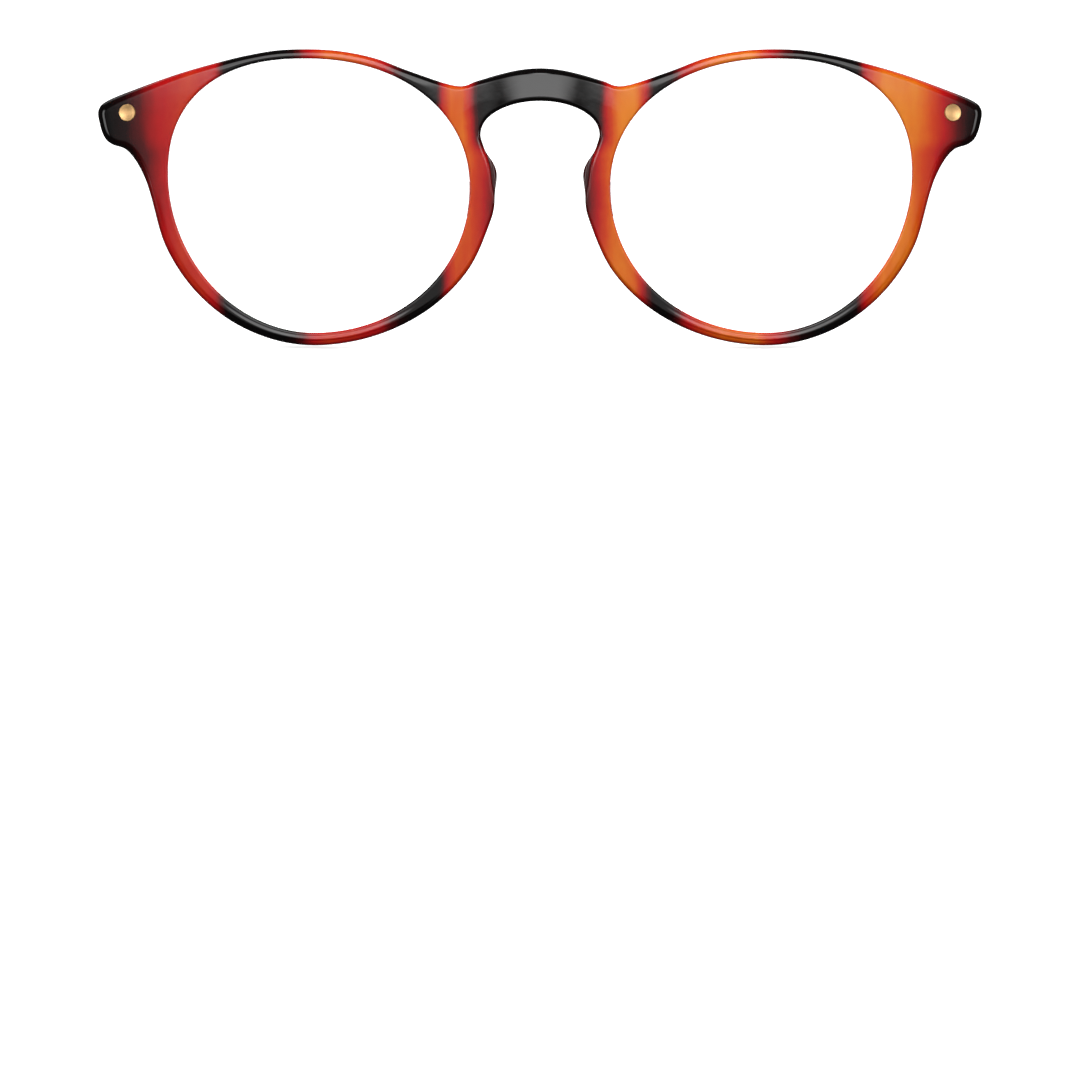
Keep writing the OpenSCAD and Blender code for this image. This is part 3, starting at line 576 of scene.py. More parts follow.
# the deeper red of turned edges is painted shade, not a colour of the sheet
RED, EDGE_SHADE_RED = 0.5, 0.42  # warmth at which the sheet is red, and down to which turned edges deepen
RED_SHARE, HOT_SHARE = 0.9, 0.4  # a faint patch's red, and the part of a patch that stays hottest
BEND_SIZE, FRAY_SIZE, FRAY_SHARE = 11, 2.2, 0.55
CLOUD_SIZE, CLOUD_DEPTH, CLOUD_STRETCH = 3.0, 0.34, 3
LOW_FROM, LOW_TO = 9.5, 6.0  # heights between which the lower bands take over
# facing against the broad side below which the painted edge shade is full, and above which there is none
EDGE_FACING, BROAD_FACING = 0.1, 0.985
SHADES = (
    (0.0, (0.0025, 0.0018, 0.0018)), (0.16, (0.012, 0.0015, 0.0018)), (0.3, (0.085, 0.003, 0.004)),
    (RED, (0.45, 0.006, 0.007)), (0.68, (0.59, 0.046, 0.005)), (0.84, (0.68, 0.12, 0.006)),
    (1.0, (0.75, 0.21, 0.012)),
)


def bands(tree, place, patches, reach):
    """Warmth from 0 to 1 along the sheet. A patch is where it starts, where it is red, its hottest
    place, where it is red again, its end, and its greatest warmth; the sheet reaches that far
    either side of zero."""
    curve_node = node(tree, "ShaderNodeFloatCurve", {
        "Value": calc(tree, "MULTIPLY_ADD", place, 0.5 / reach, 0.5)})
    curve = curve_node.mapping.curves[0]
    for start, red, hottest, red_again, end, warmth in patches:
        side = min(RED, RED_SHARE * warmth)
        near, far = mix(hottest, red, HOT_SHARE), mix(hottest, red_again, HOT_SHARE)
        for x, level in (
            (start, 0.0), (red, side), (near, warmth), (far, warmth), (red_again, side), (end, 0.0),
        ):
            curve.points.new((x / reach + 1) / 2, level)
    for point in curve.points:
        point.handle_type = "VECTOR"
    curve.points[0].location[1] = 0
    curve.points[len(curve.points) - 1].location[1] = 0
    curve_node.mapping.update()
    return curve_node.outputs[0]


def tortoiseshell(name, along, facing, reach, upper, lower, drift):
    """Polished tortoiseshell acetate with upright bands along one axis of the face. facing is the
    way that its broad side looks; its turned edges are painted deeper in colour, a painted shade
    standing in for the shade and dark reflections on them. drift is how far the bands wander, in mm."""
    paint, tree, shader = new_material(name)
    spot = upright_mm(tree)
    axes = node(tree, "ShaderNodeSeparateXYZ", {"Vector": spot}).outputs
    place = calc(tree, "MULTIPLY_ADD", noise(tree, spot, BEND_SIZE, detail=2), drift, axes[along])
    place = calc(tree, "MULTIPLY_ADD", noise(tree, spot, FRAY_SIZE, detail=4), FRAY_SHARE * drift, place)
    low = node(tree, "ShaderNodeMapRange", {
        "Value": axes[2], "From Min": LOW_FROM, "From Max": LOW_TO},
        interpolation_type="SMOOTHSTEP").outputs[0]
    warmth = node(tree, "ShaderNodeMix", {
        "Factor": low, "A": bands(tree, place, upper, reach),
        "B": bands(tree, place, lower, reach)}).outputs[0]
    stretch = (1, 1, CLOUD_STRETCH) if along == 0 else (1, CLOUD_STRETCH, 1)
    cloud = noise(tree, spot, CLOUD_SIZE, detail=4, stretch=stretch)
    warmth = calc(tree, "MULTIPLY", warmth, calc(tree, "MULTIPLY_ADD", cloud, CLOUD_DEPTH, 1.0))
    # painted shade: edges that turn away from the broad side are painted darker, down to a deep red, for the
    # shade and dark reflections on them
    normal = tree.nodes.new("ShaderNodeTexCoord").outputs["Normal"]
    turned = node(
        tree, "ShaderNodeVectorMath", {0: normal, 1: facing}, operation="DOT_PRODUCT").outputs["Value"]
    edge = node(tree, "ShaderNodeMapRange", {
        "Value": calc(tree, "ABSOLUTE", turned), "From Min": EDGE_FACING, "From Max": BROAD_FACING,
        "To Min": -1.0, "To Max": 0.0}).outputs[0]
    above = calc(tree, "MAXIMUM", calc(tree, "SUBTRACT", warmth, EDGE_SHADE_RED), 0.0)
    warmth = calc(tree, "MULTIPLY_ADD", edge, above, warmth)
    ramp = node(tree, "ShaderNodeValToRGB", {0: warmth})
    stops = ramp.color_ramp.elements
    while len(stops) < len(SHADES):
        stops.new(1.0)
    for stop, (position, colour) in zip(stops, SHADES):
        stop.position = position
        stop.color = (*colour, 1)
    tree.links.new(ramp.outputs["Color"], shader.inputs["Base Color"])
    polish(tree, shader, roughness=0.085, marks=noise(tree, spot, 0.5, detail=5), vary=0.05)
    ripple(tree, shader, height=noise(tree, spot, 2.5, detail=2), strength=0.06, depth=0.2)
    shader.inputs["IOR"].default_value = 1.48
    shader.inputs["Subsurface Weight"].default_value = 0.06
    shader.inputs["Subsurface Radius"].default_value = (1.0, 0.2, 0.1)
    shader.inputs["Subsurface Scale"].default_value = 0.8 * MM
    return paint


def finish_piece(obj, body, nodes, paint):
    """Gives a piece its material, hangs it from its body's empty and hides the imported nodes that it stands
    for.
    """
    obj.data.materials.clear()
    obj.data.materials.append(paint)
    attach(obj, body)
    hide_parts(*nodes)


face_way = lean_back.to_3x3() @ Vector((0, -1, 0))
front_acetate = tortoiseshell(
    "tortoiseshell_front", along=0, facing=face_way, reach=74.0, drift=1.1,
    upper=(
        (-67.5, -59.6, -54.0, -50.8, -49.0, 0.57), (-40.0, -36.2, -32.0, -24.5, -20.2, 0.80),
        (-16.7, -15.2, -13.0, -10.8, -9.0, 0.84), (8.7, 10.4, 13.8, 16.3, 18.0, 0.95),
        (19.4, 22.6, 30.7, 36.3, 41.5, 0.95), (49.2, 51.0, 55.6, 63.2, 68.6, 0.97),
    ),
    lower=(
        (-66.0, -58.6, -54.0, -51.0, -48.6, 0.57), (-39.8, -35.0, -32.0, -25.5, -20.0, 0.55),
        (-16.2, -14.6, -12.6, -8.8, -5.0, 0.74), (5.2, 9.1, 13.2, 15.8, 18.2, 0.88),
        (19.8, 23.0, 31.8, 37.0, 43.2, 0.84), (48.9, 50.8, 55.4, 61.8, 67.0, 0.93),
    ),
)
finish_piece(front, "front", ("front",), front_acetate)

# The lenses: clear moulded plastic, curved with the face and a little thinner at the edge,
# bevelled all round and snapped into the rims' grooves.
LENS_T, LENS_EDGE_T = 2.4, 1.7
LENS_SPOKES = 144
LENS_RINGS = (0.0, 0.15, 0.3, 0.45, 0.6, 0.75, 0.9, 1.0)


def lens_face(share, sense):
    loop = []
    for k in range(LENS_SPOKES):
        angle = 360 * k / LENS_SPOKES
        edge = opening(angle) - opening_out(angle) * LENS_FIT
        p = mix(np.array([LENS_X, 0]), edge, share)
        loop.append(at(p, lens_mid(p) + sense * mix(LENS_T, LENS_EDGE_T, share ** 2) / 2))
    return loop


def lens_bevel(out, dy):
    loop = []
    for k in range(LENS_SPOKES):
        angle = 360 * k / LENS_SPOKES
        p = opening(angle) + opening_out(angle) * out
        loop.append(at(p, lens_mid(opening(angle)) + dy))
    return loop


lens_loops = [lens_face(s, -1) for s in LENS_RINGS]
for out, dy in ((0, -GROOVE_W / 2), (GROOVE_DEPTH, 0), (0, GROOVE_W / 2)):
    lens_loops.append(lens_bevel(out - LENS_FIT, dy))
lens_loops += [lens_face(s, 1) for s in reversed(LENS_RINGS)]


def loft(name, rings_of_points, closed_ends=True):
    """Mesh through rings of equal length, its two ends closed by flat caps."""
    n = len(rings_of_points[0])
    verts = [p for r in rings_of_points for p in r]
    faces = []
    for i in range(len(rings_of_points) - 1):
        for j in range(n):
            k = (j + 1) % n
            faces.append((i * n + j, i * n + k, (i + 1) * n + k, (i + 1) * n + j))
    if closed_ends:
        faces.append(tuple(range(n)))
        last = (len(rings_of_points) - 1) * n
        faces.append(tuple(range(last + n - 1, last - 1, -1)))
    return mesh_from(name, verts, faces)


lens_plastic, lens_tree, lens_shader = new_material("clear_lens_plastic")
lens_shader.inputs["Base Color"].default_value = (0.99, 0.995, 0.99, 1)
lens_shader.inputs["IOR"].default_value = 1.5
lens_shader.inputs["Transmission Weight"].default_value = 1.0
lens_haze = noise(lens_tree, upright_mm(lens_tree), 6, detail=3)
polish(lens_tree, lens_shader, roughness=0.004, marks=lens_haze, vary=0.004)
for side, side_name in ((1, "left"), (-1, "right")):
    lens = add_object(side_name + "_reading_lens", loft("reading_lens", lens_loops, closed_ends=False))
    placed(lens, side)
    smooth(lens)
    lens.visible_shadow = False
    finish_piece(lens, "front", (side_name + "_lens",), lens_plastic)

# The nose pads: small D-shaped blocks of the same acetate, cemented to the back of the rims
# beside the nose and polished with them. Their edges just show past the rims from the front.
PAD_DEPTH, PAD_W, PAD_NARROW, PAD_LEAN, PAD_FIT = 4.6, 3.2, 0.75, 0.7, 0.04
PAD_BULGE, PAD_BULGE_Z, PAD_BULGE_HALF, PAD_EDGE_FALL = 0.9, 3.4, 4.0, 0.7
PAD_FROM, PAD_TO, PAD_END, PAD_BLUNT = 10, 4, 0.012, 0.6
PAD_TURNS, PAD_SEAT_STEPS = 24, 12
pad_loops = []
# the pad lies between two rows of the outline, counted back from the arch's middle
pad_first, pad_last = ((len(rows) - 1 - back) * ROW_STEPS for back in (PAD_FROM, PAD_TO))
for i in range(pad_first, pad_last + 1):
    row, out = outline[i]
    t = (i - pad_first) / (pad_last - pad_first)
    full = math.sin(math.pi * mix(PAD_END, 1 - PAD_END, t)) ** PAD_BLUNT
    wall = row[:2]
    inward = unit(opening(row[2]) - wall)
    start = -PAD_BULGE * ease(1 - abs(wall[1] - PAD_BULGE_Z) / PAD_BULGE_HALF)
    end = PAD_W * mix(PAD_NARROW, 1, full)
    loop = []
    for k in range(PAD_TURNS + 1):
        a = math.pi * k / PAD_TURNS
        p = wall + inward * (mix(start, end, (1 - math.cos(a)) / 2) + PAD_LEAN * full * math.sin(a))
        fall = PAD_EDGE_FALL * (start / PAD_BULGE) ** 2 if k < PAD_TURNS / 2 else 0
        loop.append(at(p, back_y(p) + PAD_FIT + max(PAD_DEPTH * full * math.sin(a), fall)))
    for k in range(PAD_SEAT_STEPS - 1, 0, -1):
        reach_in = mix(start, end, (k / PAD_SEAT_STEPS) ** 2)
        p = wall + inward * reach_in
        loop.append(at(p, back_y(p) + PAD_FIT + PAD_EDGE_FALL * (min(reach_in, 0) / PAD_BULGE) ** 2))
    pad_loops.append(loop)
pad_patches = ((-16.0, -12.5, -10.5, -9.0, -4.0, 0.40), (4.0, 9.0, 10.5, 12.5, 16.0, 0.40))
pad_acetate = tortoiseshell(
    "tortoiseshell_pads", along=0, facing=face_way, reach=74.0, drift=0.6,
    upper=pad_patches, lower=pad_patches,
)
for side, side_name in ((1, "left"), (-1, "right")):
    pad = add_object(side_name + "_acetate_pad", loft("acetate_pad", pad_loops))
    placed(pad, side)
    smooth(pad, sharp_above=50)
    finish_piece(pad, "front", (side_name + "_nose_pad",), pad_acetate)

# The hinges: five-knuckle leaves of tumbled nickel silver, their plates sunk in the acetate.
# The front leaf has three knuckles and the temple leaf two between them, and tumbling has
# rounded their edges.
LEAF_ROUNDING, LEAF_SHARP, LEAF_WELD, LEAF_FLAT = 0.08, 35, 0.001, 1
MARK_DEPTH, DULL_TONE, DULL_AT, BRIGHT_AT = 0.05, 0.84, 0.3, 0.72


def metal(name, colour, roughness, grain, metallic=1.0):
    """Metal with fine tumbling marks; grain is the size of the marks in mm."""
    paint, tree, shader = new_material(name)
    marks = noise(tree, upright_mm(tree), grain, detail=5, roughness=0.6)
    tone = node(tree, "ShaderNodeValToRGB", {0: calc(tree, "ADD", marks, 0.5)})
    for stop, position, share in zip(tone.color_ramp.elements, (DULL_AT, BRIGHT_AT), (DULL_TONE, 1)):
        stop.position = position
        stop.color = (*(share * c for c in colour), 1)
    tree.links.new(tone.outputs[0], shader.inputs["Base Color"])
    polish(tree, shader, roughness, marks, vary=0.14)
    ripple(tree, shader, height=marks, strength=0.1, depth=MARK_DEPTH)
    shader.inputs["Metallic"].default_value = metallic
    return paint


nickel_silver = metal("tumbled_nickel_silver", (0.66, 0.635, 0.59), roughness=0.3, grain=0.35, metallic=0.85)
for piece, body, node_name in (
    ("left_front_leaf", "front", "left_front_hinge"),
    ("right_front_leaf", "front", "right_front_hinge"),
    ("left_temple_leaf", "left_temple", "left_temple_hinge"),
    ("right_temple_leaf", "right_temple", "right_temple_hinge"),
):
    whole = bmesh.new()
    whole.from_mesh(frame["nodes"][node_name].data)
    bmesh.ops.remove_doubles(whole, verts=whole.verts, dist=LEAF_WELD * MM)
    bmesh.ops.dissolve_limit(
        whole, angle_limit=math.radians(LEAF_FLAT), verts=whole.verts, edges=whole.edges)
    leaf = add_object(piece, bpy.data.meshes.new(piece))
    whole.to_mesh(leaf.data)
    whole.free()
    rounding = leaf.modifiers.new("rounding", "BEVEL")
    rounding.width = LEAF_ROUNDING * MM
    rounding.segments = 2
    rounding.limit_method = "ANGLE"
    rounding.angle_limit = math.radians(LEAF_SHARP)
    applied(leaf)
    smooth(leaf, LEAF_SHARP)
    finish_piece(leaf, body, (node_name,), nickel_silver)

# The hinge screws: slotted, turned from the same metal, put in from the top through all five
# knuckles. One geometry tree turns them and, with other sizes, the rivets.
SCREW_R, SCREW_HEAD_R, SCREW_HEAD_H, SCREW_ROUNDING, SLOT_W = 0.6, 1.05, 0.5, 0.12, 0.25


def geometry_tree(name, sizes):
    """An empty geometry tree with named inputs; sizes are pairs of a name and a socket kind."""
    tree = bpy.data.node_groups.new(name, "GeometryNodeTree")
    tree.interface.new_socket("Geometry", in_out="OUTPUT", socket_type="NodeSocketGeometry")
    tree.interface.new_socket("Geometry", in_out="INPUT", socket_type="NodeSocketGeometry")
    for size, kind in sizes:
        tree.interface.new_socket(size, in_out="INPUT", socket_type="NodeSocket" + kind)
    return tree, tree.nodes.new("NodeGroupInput").outputs, tree.nodes.new("NodeGroupOutput").inputs


def grown(obj, tree, values):
    """Runs a geometry tree on an object with the given inputs and keeps the plain mesh."""
    modifier = obj.modifiers.new(tree.name, "NODES")
    modifier.node_group = tree
    for item in tree.interface.items_tree:
        if item.in_out == "INPUT" and item.name in values:
            modifier[item.identifier] = values[item.name]
    closed_up(applied(obj))


def vector_math(tree, operation, *values):
    return node(tree, "ShaderNodeVectorMath", enumerate(values), operation=operation).outputs[0]


def combine(tree, x=0.0, y=0.0, z=0.0):
    return node(tree, "ShaderNodeCombineXYZ", {0: x, 1: y, 2: z}).outputs[0]


def turned_pin_tree():
    """A headed pin on each point, its head at the point and its shank along the point's +z turn.
    The head's outer face is dished, or domed by a dish below zero, and may have a slot."""
    tree, given, out = geometry_tree("turned_pin", (
        ("Head radius", "Float"), ("Head depth", "Float"), ("Edge rounding", "Float"), ("Dish", "Float"),
        ("Shank radius", "Float"), ("Length", "Float"), ("Slot width", "Float"), ("Spokes", "Int"),
        ("Material", "Material"),
    ))
    head = node(tree, "GeometryNodeMeshCylinder", {
        "Vertices": given["Spokes"], "Fill Segments": 12, "Radius": given["Head radius"],
        "Depth": given["Head depth"]}, fill_type="TRIANGLE_FAN")
    spot = tree.nodes.new("GeometryNodeInputPosition").outputs[0]
    x, y, z = node(tree, "ShaderNodeSeparateXYZ", {0: spot}).outputs
    radius = node(
        tree, "ShaderNodeVectorMath", {0: combine(tree, x, y)}, operation="LENGTH").outputs["Value"]
    bowl_radius = calc(tree, "SUBTRACT", given["Head radius"], given["Edge rounding"])
    share = calc(tree, "DIVIDE", radius, bowl_radius)
    bowl = calc(tree, "MAXIMUM", calc(tree, "SUBTRACT", 1.0, calc(tree, "MULTIPLY", share, share)), 0.0)
    past = calc(tree, "MAXIMUM", calc(tree, "SUBTRACT", share, 1.0), 0.0)
    past = calc(tree, "DIVIDE", calc(tree, "MULTIPLY", past, given["Head radius"]), given["Edge rounding"])
    fall = calc(tree, "MULTIPLY", calc(tree, "MULTIPLY", past, past), given["Edge rounding"])
    sink = calc(tree, "ADD", calc(tree, "MULTIPLY", bowl, given["Dish"]), fall)
    shaped = node(tree, "GeometryNodeSetPosition", {
        "Geometry": head.outputs["Mesh"], "Selection": head.outputs["Bottom"],
        "Offset": combine(tree, z=sink)}).outputs[0]
    half_depth = calc(tree, "MULTIPLY", given["Head depth"], 0.5)
    shaped = node(tree, "GeometryNodeTransform", {
        "Geometry": shaped, "Translation": combine(tree, z=half_depth)}).outputs[0]
    shank = node(tree, "GeometryNodeMeshCylinder", {
        "Vertices": given["Spokes"], "Radius": given["Shank radius"],
        "Depth": calc(tree, "SUBTRACT", given["Length"], half_depth)}).outputs[0]
    middle = calc(tree, "MULTIPLY", calc(tree, "ADD", given["Length"], half_depth), 0.5)
    shank = node(tree, "GeometryNodeTransform", {
        "Geometry": shank, "Translation": combine(tree, z=middle)}).outputs[0]
    solid = node(tree, "GeometryNodeMeshBoolean", {"Mesh 2": shaped}, operation="UNION", solver="EXACT")
    tree.links.new(shank, solid.inputs["Mesh 2"])
    slot_len = calc(tree, "MULTIPLY", given["Head radius"], 3.0)
    slot = node(tree, "GeometryNodeMeshCube", {
        "Size": combine(tree, slot_len, given["Slot width"], given["Head depth"])})
    cut_out = node(tree, "GeometryNodeMeshBoolean", {
        "Mesh 1": solid.outputs[0], "Mesh 2": slot.outputs[0]}, operation="DIFFERENCE", solver="EXACT")
    pin = node(tree, "GeometryNodeSwitch", {
        "Switch": calc(tree, "GREATER_THAN", given["Slot width"], 0.0),
        "False": solid.outputs[0], "True": cut_out.outputs[0]}, input_type="GEOMETRY").outputs[0]
    turn = node(
        tree, "GeometryNodeInputNamedAttribute", {"Name": "turn"}, data_type="FLOAT_VECTOR").outputs[0]
    pins = node(tree, "GeometryNodeInstanceOnPoints", {
        "Points": given["Geometry"], "Instance": pin,
        "Rotation": node(tree, "FunctionNodeEulerToRotation", {0: turn}).outputs[0]}).outputs[0]
    real = node(tree, "GeometryNodeRealizeInstances", {0: pins}).outputs[0]
    tree.links.new(node(tree, "GeometryNodeSetMaterial", {
        "Geometry": real, "Material": given["Material"]}).outputs[0], out["Geometry"])
    return tree


def pins_at(name, tree, places, values):
    """Headed pins at places, which are pairs of a point and the way that the shank points."""
    points = bpy.data.meshes.new(name)
    points.from_pydata([p for p, way in places], [], [])
    turn = points.attributes.new("turn", "FLOAT_VECTOR", "POINT")
    for k, (p, way) in enumerate(places):
        turn.data[k].vector = Vector(way).to_track_quat("Z", "X").to_euler()
    pins = add_object(name, points)
    grown(pins, tree, values)
    pins.data.transform(stand)
    smooth(pins, sharp_above=35)
    return pins


turned_pin = turned_pin_tree()
screw_top = HINGE_AT.z + hinge_h / 2 + SCREW_HEAD_H
screws = pins_at(
    "hinge_screws", turned_pin,
    [((side * HINGE_AT.x, HINGE_AT.y, screw_top), (0, 0, -1)) for side in (1, -1)],
    {"Head radius": SCREW_HEAD_R, "Head depth": SCREW_HEAD_H, "Edge rounding": SCREW_ROUNDING,
     "Dish": 0.0, "Shank radius": SCREW_R, "Length": hinge_h + SCREW_HEAD_H, "Slot width": SLOT_W,
     "Spokes": 48, "Material": nickel_silver},
)
finish_piece(screws, "front", ("left_hinge_screw", "right_hinge_screw"), nickel_silver)

# The rivets: gold-toned brass pins with dished round heads, set level with the face of the end
# pieces and with the outside of the temples, and closed over the hinge plates inside.
RIVET_LEN, RIVET_ROUNDING, NUDGE = 3.3, 0.15, 0.01
BUTT_GAP, TEMPLE_IN, TEMPLE_RIVET_BACK = 0.05, 1.3, 4.8
temple_y = BUTT_Y + BUTT_GAP
temple_outer_x = TIP_X - TEMPLE_IN
temple_rivet_y = temple_y + TEMPLE_RIVET_BACK
gold = metal("gold_tone_brass", (0.98, 0.60, 0.26), roughness=0.42, grain=0.3, metallic=0.75)
rivet_sizes = {
    "Head radius": RIVET_R, "Head depth": RIVET_HEAD_T, "Edge rounding": RIVET_ROUNDING,
    "Dish": RIVET_DISH, "Shank radius": RIVET_SHANK_R, "Length": RIVET_LEN, "Slot width": 0.0,
    "Spokes": 64, "Material": gold}
slope_x = (face_y((rivet_x + NUDGE, rivet_z)) - rivet_face_y) / NUDGE
slope_z = (face_y((rivet_x, rivet_z + NUDGE)) - rivet_face_y) / NUDGE
front_places, temple_places = [], []
for side in (1, -1):
    front_places.append((
        (side * rivet_x, rivet_face_y - RIVET_PROUD, rivet_z), (-side * slope_x, 1, -slope_z)))
    temple_places.append((
        (side * (temple_outer_x + RIVET_PROUD), temple_rivet_y, HINGE_AT.z), (-side, 0, 0)))
for piece, body, nodes, places in (
    ("front_rivets", "front", ("left_front_rivet", "right_front_rivet"), front_places),
    ("left_temple_dot", "left_temple", ("left_temple_rivet",), temple_places[:1]),
    ("right_temple_dot", "right_temple", ("right_temple_rivet",), temple_places[1:]),
):
    finish_piece(pins_at(piece, turned_pin, places, rivet_sizes), body, nodes, gold)

# The temples: straight bars of tortoiseshell acetate, rounded, polished and bent down behind the
# ears. One geometry tree sweeps their changing section along the bar, and the core wire's too.
TEMPLE_LEN, TEMPLE_T, TEMPLE_TIP_T = 138.0, 3.4, 2.8
TEMPLE_H, TEMPLE_WAIST_H, TEMPLE_TIP_H = 6.0, 4.4, 6.0
WAIST_AT, WAIST_FADE, TIP_FADE = 0.6, 0.5, 0.32
TEMPLE_ROUND, TEMPLE_CLOSE = 0.36, 1.8
TIP_ROUND, TIP_LEAST, TIP_BLUNT, TIP_BLUNT_FADE, TIP_CORNER_FADE = 0.03, 0.02, 0.3, 4, 2
EAR_LEN, EAR_ANGLE, EAR_R = 50.0, math.radians(14), 60.0
TEMPLE_PLATE_LEN = 10.0
temple_inner_x = temple_outer_x - TEMPLE_T


def temple_height(t):
    if t < WAIST_AT:
        return mix(TEMPLE_H, TEMPLE_WAIST_H, ease((t - WAIST_AT + WAIST_FADE) / WAIST_FADE))
    return mix(TEMPLE_WAIST_H, TEMPLE_TIP_H, ease((t - WAIST_AT) / TIP_FADE))


def ear_drop(t):
    """How far the temple's middle has dropped: straight, then an arc, then straight and sloping."""
    past = t * TEMPLE_LEN - (TEMPLE_LEN - EAR_LEN)
    run = EAR_R * math.sin(EAR_ANGLE)
    if past <= 0:
        return 0
    if past < run:
        return EAR_R - math.sqrt(EAR_R ** 2 - past ** 2)
    return EAR_R * (1 - math.cos(EAR_ANGLE)) + (past - run) * math.tan(EAR_ANGLE)


def ear_slope(t):
    past = t * TEMPLE_LEN - (TEMPLE_LEN - EAR_LEN)
    return math.asin(min(max(past / EAR_R, 0), math.sin(EAR_ANGLE)))


def temple_middle(t, shift=0.0):
    across = temple_outer_x - TEMPLE_T / 2 - TEMPLE_CLOSE * t ** 2 + shift
    return (across, temple_y + TEMPLE_LEN * t, HINGE_AT.z - ear_drop(t))


def swept_bar_tree():
    """Sweeps a rounded rectangle along an edge path whose points hold half_wide, half_high,
    corner and up; the bar's width lies across x."""
    tree, given, out = geometry_tree("swept_bar", (("Points round", "Int"), ("Material", "Material")))

    def stored(geometry, name, value):
        return node(tree, "GeometryNodeStoreNamedAttribute", {
            "Geometry": geometry, "Name": name, "Value": value},
            data_type="FLOAT_VECTOR", domain="POINT").outputs[0]

    def kept(name, kind="FLOAT"):
        return node(tree, "GeometryNodeInputNamedAttribute", {"Name": name}, data_type=kind).outputs[0]

    spot = tree.nodes.new("GeometryNodeInputPosition").outputs[0]
    path = node(tree, "GeometryNodeMeshToCurve", {0: given["Geometry"]}).outputs[0]
    path = stored(path, "middle", spot)
    ring = node(tree, "GeometryNodeCurvePrimitiveCircle", {"Resolution": given["Points round"]}).outputs[0]
    half_step = calc(tree, "DIVIDE", math.pi, given["Points round"])
    turn = node(tree, "FunctionNodeEulerToRotation", {0: combine(tree, z=half_step)}).outputs[0]
    ring = node(tree, "GeometryNodeTransform", {"Geometry": ring, "Rotation": turn}).outputs[0]
    ring = stored(ring, "around", spot)
    bar = node(tree, "GeometryNodeCurveToMesh", {
        "Curve": path, "Profile Curve": ring, "Fill Caps": True}).outputs[0]
    around = node(tree, "ShaderNodeSeparateXYZ", {0: kept("around", "FLOAT_VECTOR")}).outputs
    corner = kept("corner")
    sides = []
    for share, half in ((around[0], kept("half_wide")), (around[1], kept("half_high"))):
        flat = calc(tree, "MULTIPLY", calc(tree, "SIGN", share), calc(tree, "SUBTRACT", half, corner))
        sides.append(calc(tree, "MULTIPLY_ADD", share, corner, flat))
    upward = vector_math(tree, "SCALE", kept("up", "FLOAT_VECTOR"))
    tree.links.new(sides[1], upward.node.inputs["Scale"])
    off_middle = vector_math(tree, "ADD", combine(tree, x=sides[0]), upward)
    place = vector_math(tree, "ADD", kept("middle", "FLOAT_VECTOR"), off_middle)
    bar = node(tree, "GeometryNodeSetPosition", {"Geometry": bar, "Position": place}).outputs[0]
    real = node(tree, "GeometryNodeRealizeInstances", {0: bar}).outputs[0]
    tree.links.new(node(tree, "GeometryNodeSetMaterial", {
        "Geometry": real, "Material": given["Material"]}).outputs[0], out["Geometry"])
    return tree


swept_bar = swept_bar_tree()


def swept(name, stations, paint, points_round):
    """A bar through stations, each a middle point, half width, half height, corner and slope."""
    path = bpy.data.meshes.new(name)
    path.from_pydata([s[0] for s in stations], [(k, k + 1) for k in range(len(stations) - 1)], [])
    for index, attribute in ((1, "half_wide"), (2, "half_high"), (3, "corner")):
        values = path.attributes.new(attribute, "FLOAT", "POINT")
        values.data.foreach_set("value", [s[index] for s in stations])
    up = path.attributes.new("up", "FLOAT_VECTOR", "POINT")
    up.data.foreach_set("vector", [c for s in stations for c in (0, math.sin(s[4]), math.cos(s[4]))])
    bar = add_object(name, path)
    grown(bar, swept_bar, {"Points round": points_round, "Material": paint})
    return bar


def temple_station(t, inset=0.0):
    """The temple's section at a share t of its length; inset rounds its butt end."""
    wide = mix(TEMPLE_T, TEMPLE_TIP_T, t)
    left = min((1 - t) / TIP_ROUND, 1)
    end = math.sqrt(max(1 - (1 - left) ** 2, TIP_LEAST ** 2))
    wide *= mix(end, 1, TIP_BLUNT * min(end * TIP_BLUNT_FADE, 1))
    half_wide, half_high = wide / 2 - inset, temple_height(t) * end / 2 - inset
    corner = min(TEMPLE_ROUND * wide * min(end * TIP_CORNER_FADE, 1), half_wide, half_high)
    return temple_middle(t), half_wide, half_high, corner, ear_slope(t)


temple_acetate = tortoiseshell(
    "tortoiseshell_temples", along=1, facing=Vector((1, 0, 0)), reach=160.0, drift=5.0,
    upper=(
        (13.0, 18.0, 22.0, 26.0, 31.0, 0.60), (36.0, 41.0, 46.5, 53.0, 58.0, 0.92),
        (63.0, 67.0, 70.0, 73.0, 77.0, 0.62), (83.0, 89.0, 96.0, 104.0, 109.0, 0.95),
        (112.0, 115.5, 118.0, 120.5, 124.0, 0.60), (129.0, 133.0, 137.0, 141.0, 144.0, 0.85),
    ),
    lower=(
        (14.0, 18.0, 22.0, 26.0, 30.0, 0.56), (37.0, 42.0, 47.0, 53.0, 57.0, 0.88),
        (64.0, 67.5, 70.0, 72.5, 76.0, 0.56), (84.0, 90.0, 97.0, 103.0, 108.0, 0.90),
        (111.0, 115.0, 118.0, 122.0, 126.0, 0.66), (130.0, 134.0, 137.0, 140.0, 143.0, 0.80),
    ),
)
BAR_STEPS = 96
BUTT_ROUNDING = ((0, 0.2), (0.0006, 0.06), (0.0015, 0))  # shares of the length and their insets
TIP_SHARES = (1, 0.8, 0.6, 0.45, 0.32, 0.2, 0.12, 0.06, 0.025, 0.008, 0)
bar_stations = [temple_station(t, inset) for t, inset in BUTT_ROUNDING]
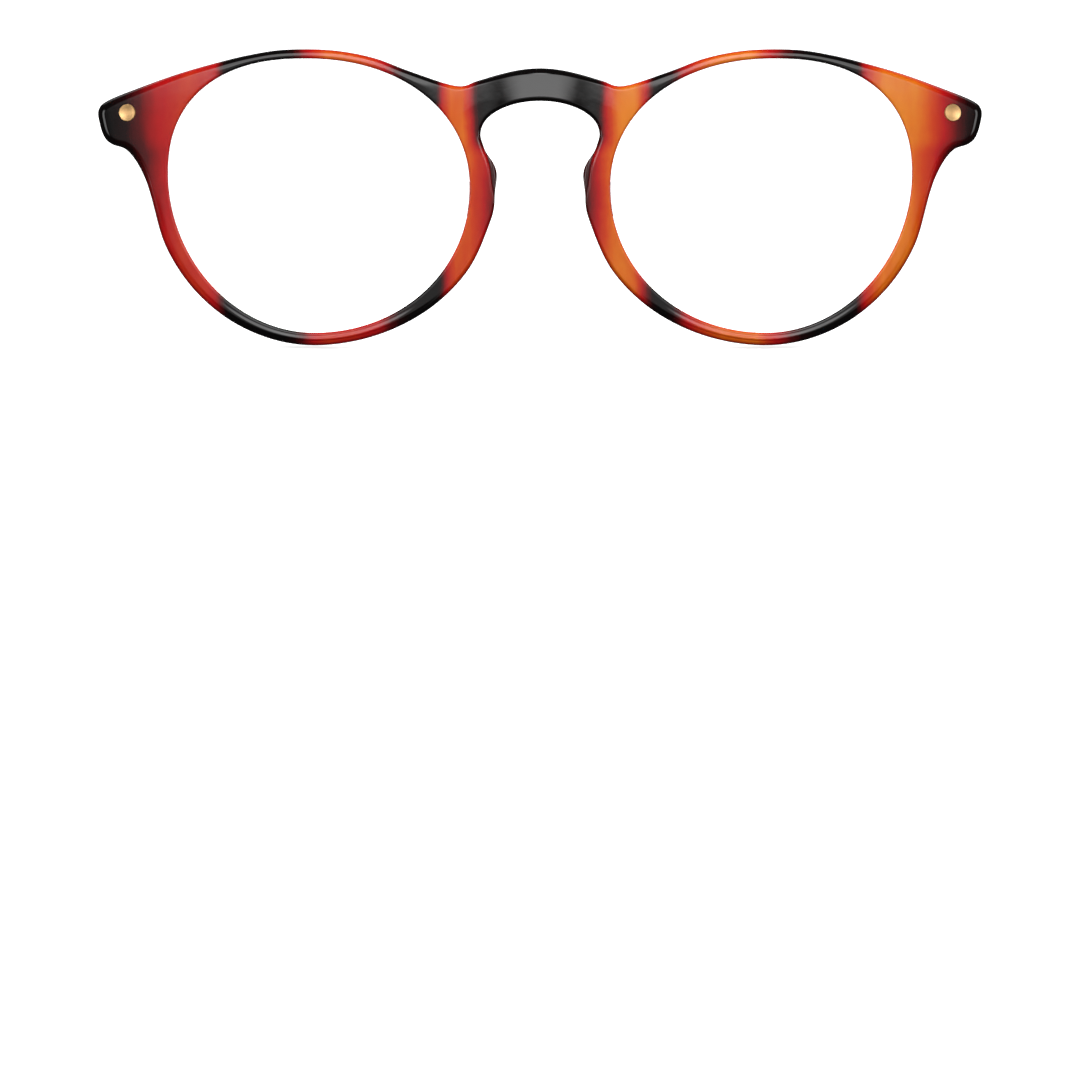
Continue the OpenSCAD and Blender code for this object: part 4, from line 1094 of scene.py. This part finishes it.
bar_stations += [temple_station(k / BAR_STEPS) for k in range(1, int(BAR_STEPS * (1 - TIP_ROUND)))]
bar_stations += [temple_station(1 - TIP_ROUND * share) for share in TIP_SHARES]
for side, side_name in ((1, "left"), (-1, "right")):
    temple = swept(side_name + "_temple_bar", bar_stations, temple_acetate, points_round=32)
    cut(temple, box_cutter(
        (temple_inner_x - CUT_PAST, temple_y - CUT_PAST, plate_low),
        (temple_inner_x + PLATE_T + SINK_FIT, temple_y + TEMPLE_PLATE_LEN + SINK_FIT, plate_high),
    ))
    for start, radius, length in (
        (temple_inner_x - CUT_PAST, RIVET_SHANK_R, TEMPLE_T + 2 * CUT_PAST),
        (temple_outer_x - RIVET_HEAD_T - SINK_FIT, RIVET_R, 2 * CUT_PAST),
    ):
        cut(temple, round_cutter((start, temple_rivet_y, HINGE_AT.z), (1, 0, 0), radius + SINK_FIT, length))
    placed(temple, side)
    smooth(temple)
    finish_piece(temple, side_name + "_temple", (side_name + "_temple",), temple_acetate)

# The core wires: flat strips of drawn steel, shot hot into the temples from the hinge end. They
# lie sealed inside, from behind the hinge plate to near the tip, and stiffen the bend.
CORE_H, CORE_T, CORE_IN, CORE_SHORT, CORE_ROUND, CORE_STEPS = 2.2, 0.8, 7.2, 14.0, 0.1, 47
drawn_steel = metal("drawn_steel", (0.55, 0.55, 0.56), roughness=0.3, grain=0.3)
core_shift = PLATE_T + SINK_FIT + CORE_T / 2 - TEMPLE_T / 2
core_stations = []
for k in range(CORE_STEPS + 1):
    t = mix(CORE_IN / TEMPLE_LEN, 1 - CORE_SHORT / TEMPLE_LEN, k / CORE_STEPS)
    middle = temple_middle(t, core_shift * (1 - t))
    core_stations.append((middle, CORE_T / 2, CORE_H / 2, CORE_ROUND, ear_slope(t)))
for side, side_name in ((1, "left"), (-1, "right")):
    wire = swept(side_name + "_flat_wire", core_stations, drawn_steel, points_round=12)
    placed(wire, side)
    smooth(wire)
    finish_piece(wire, side_name + "_temple", (side_name + "_core_wire",), drawn_steel)
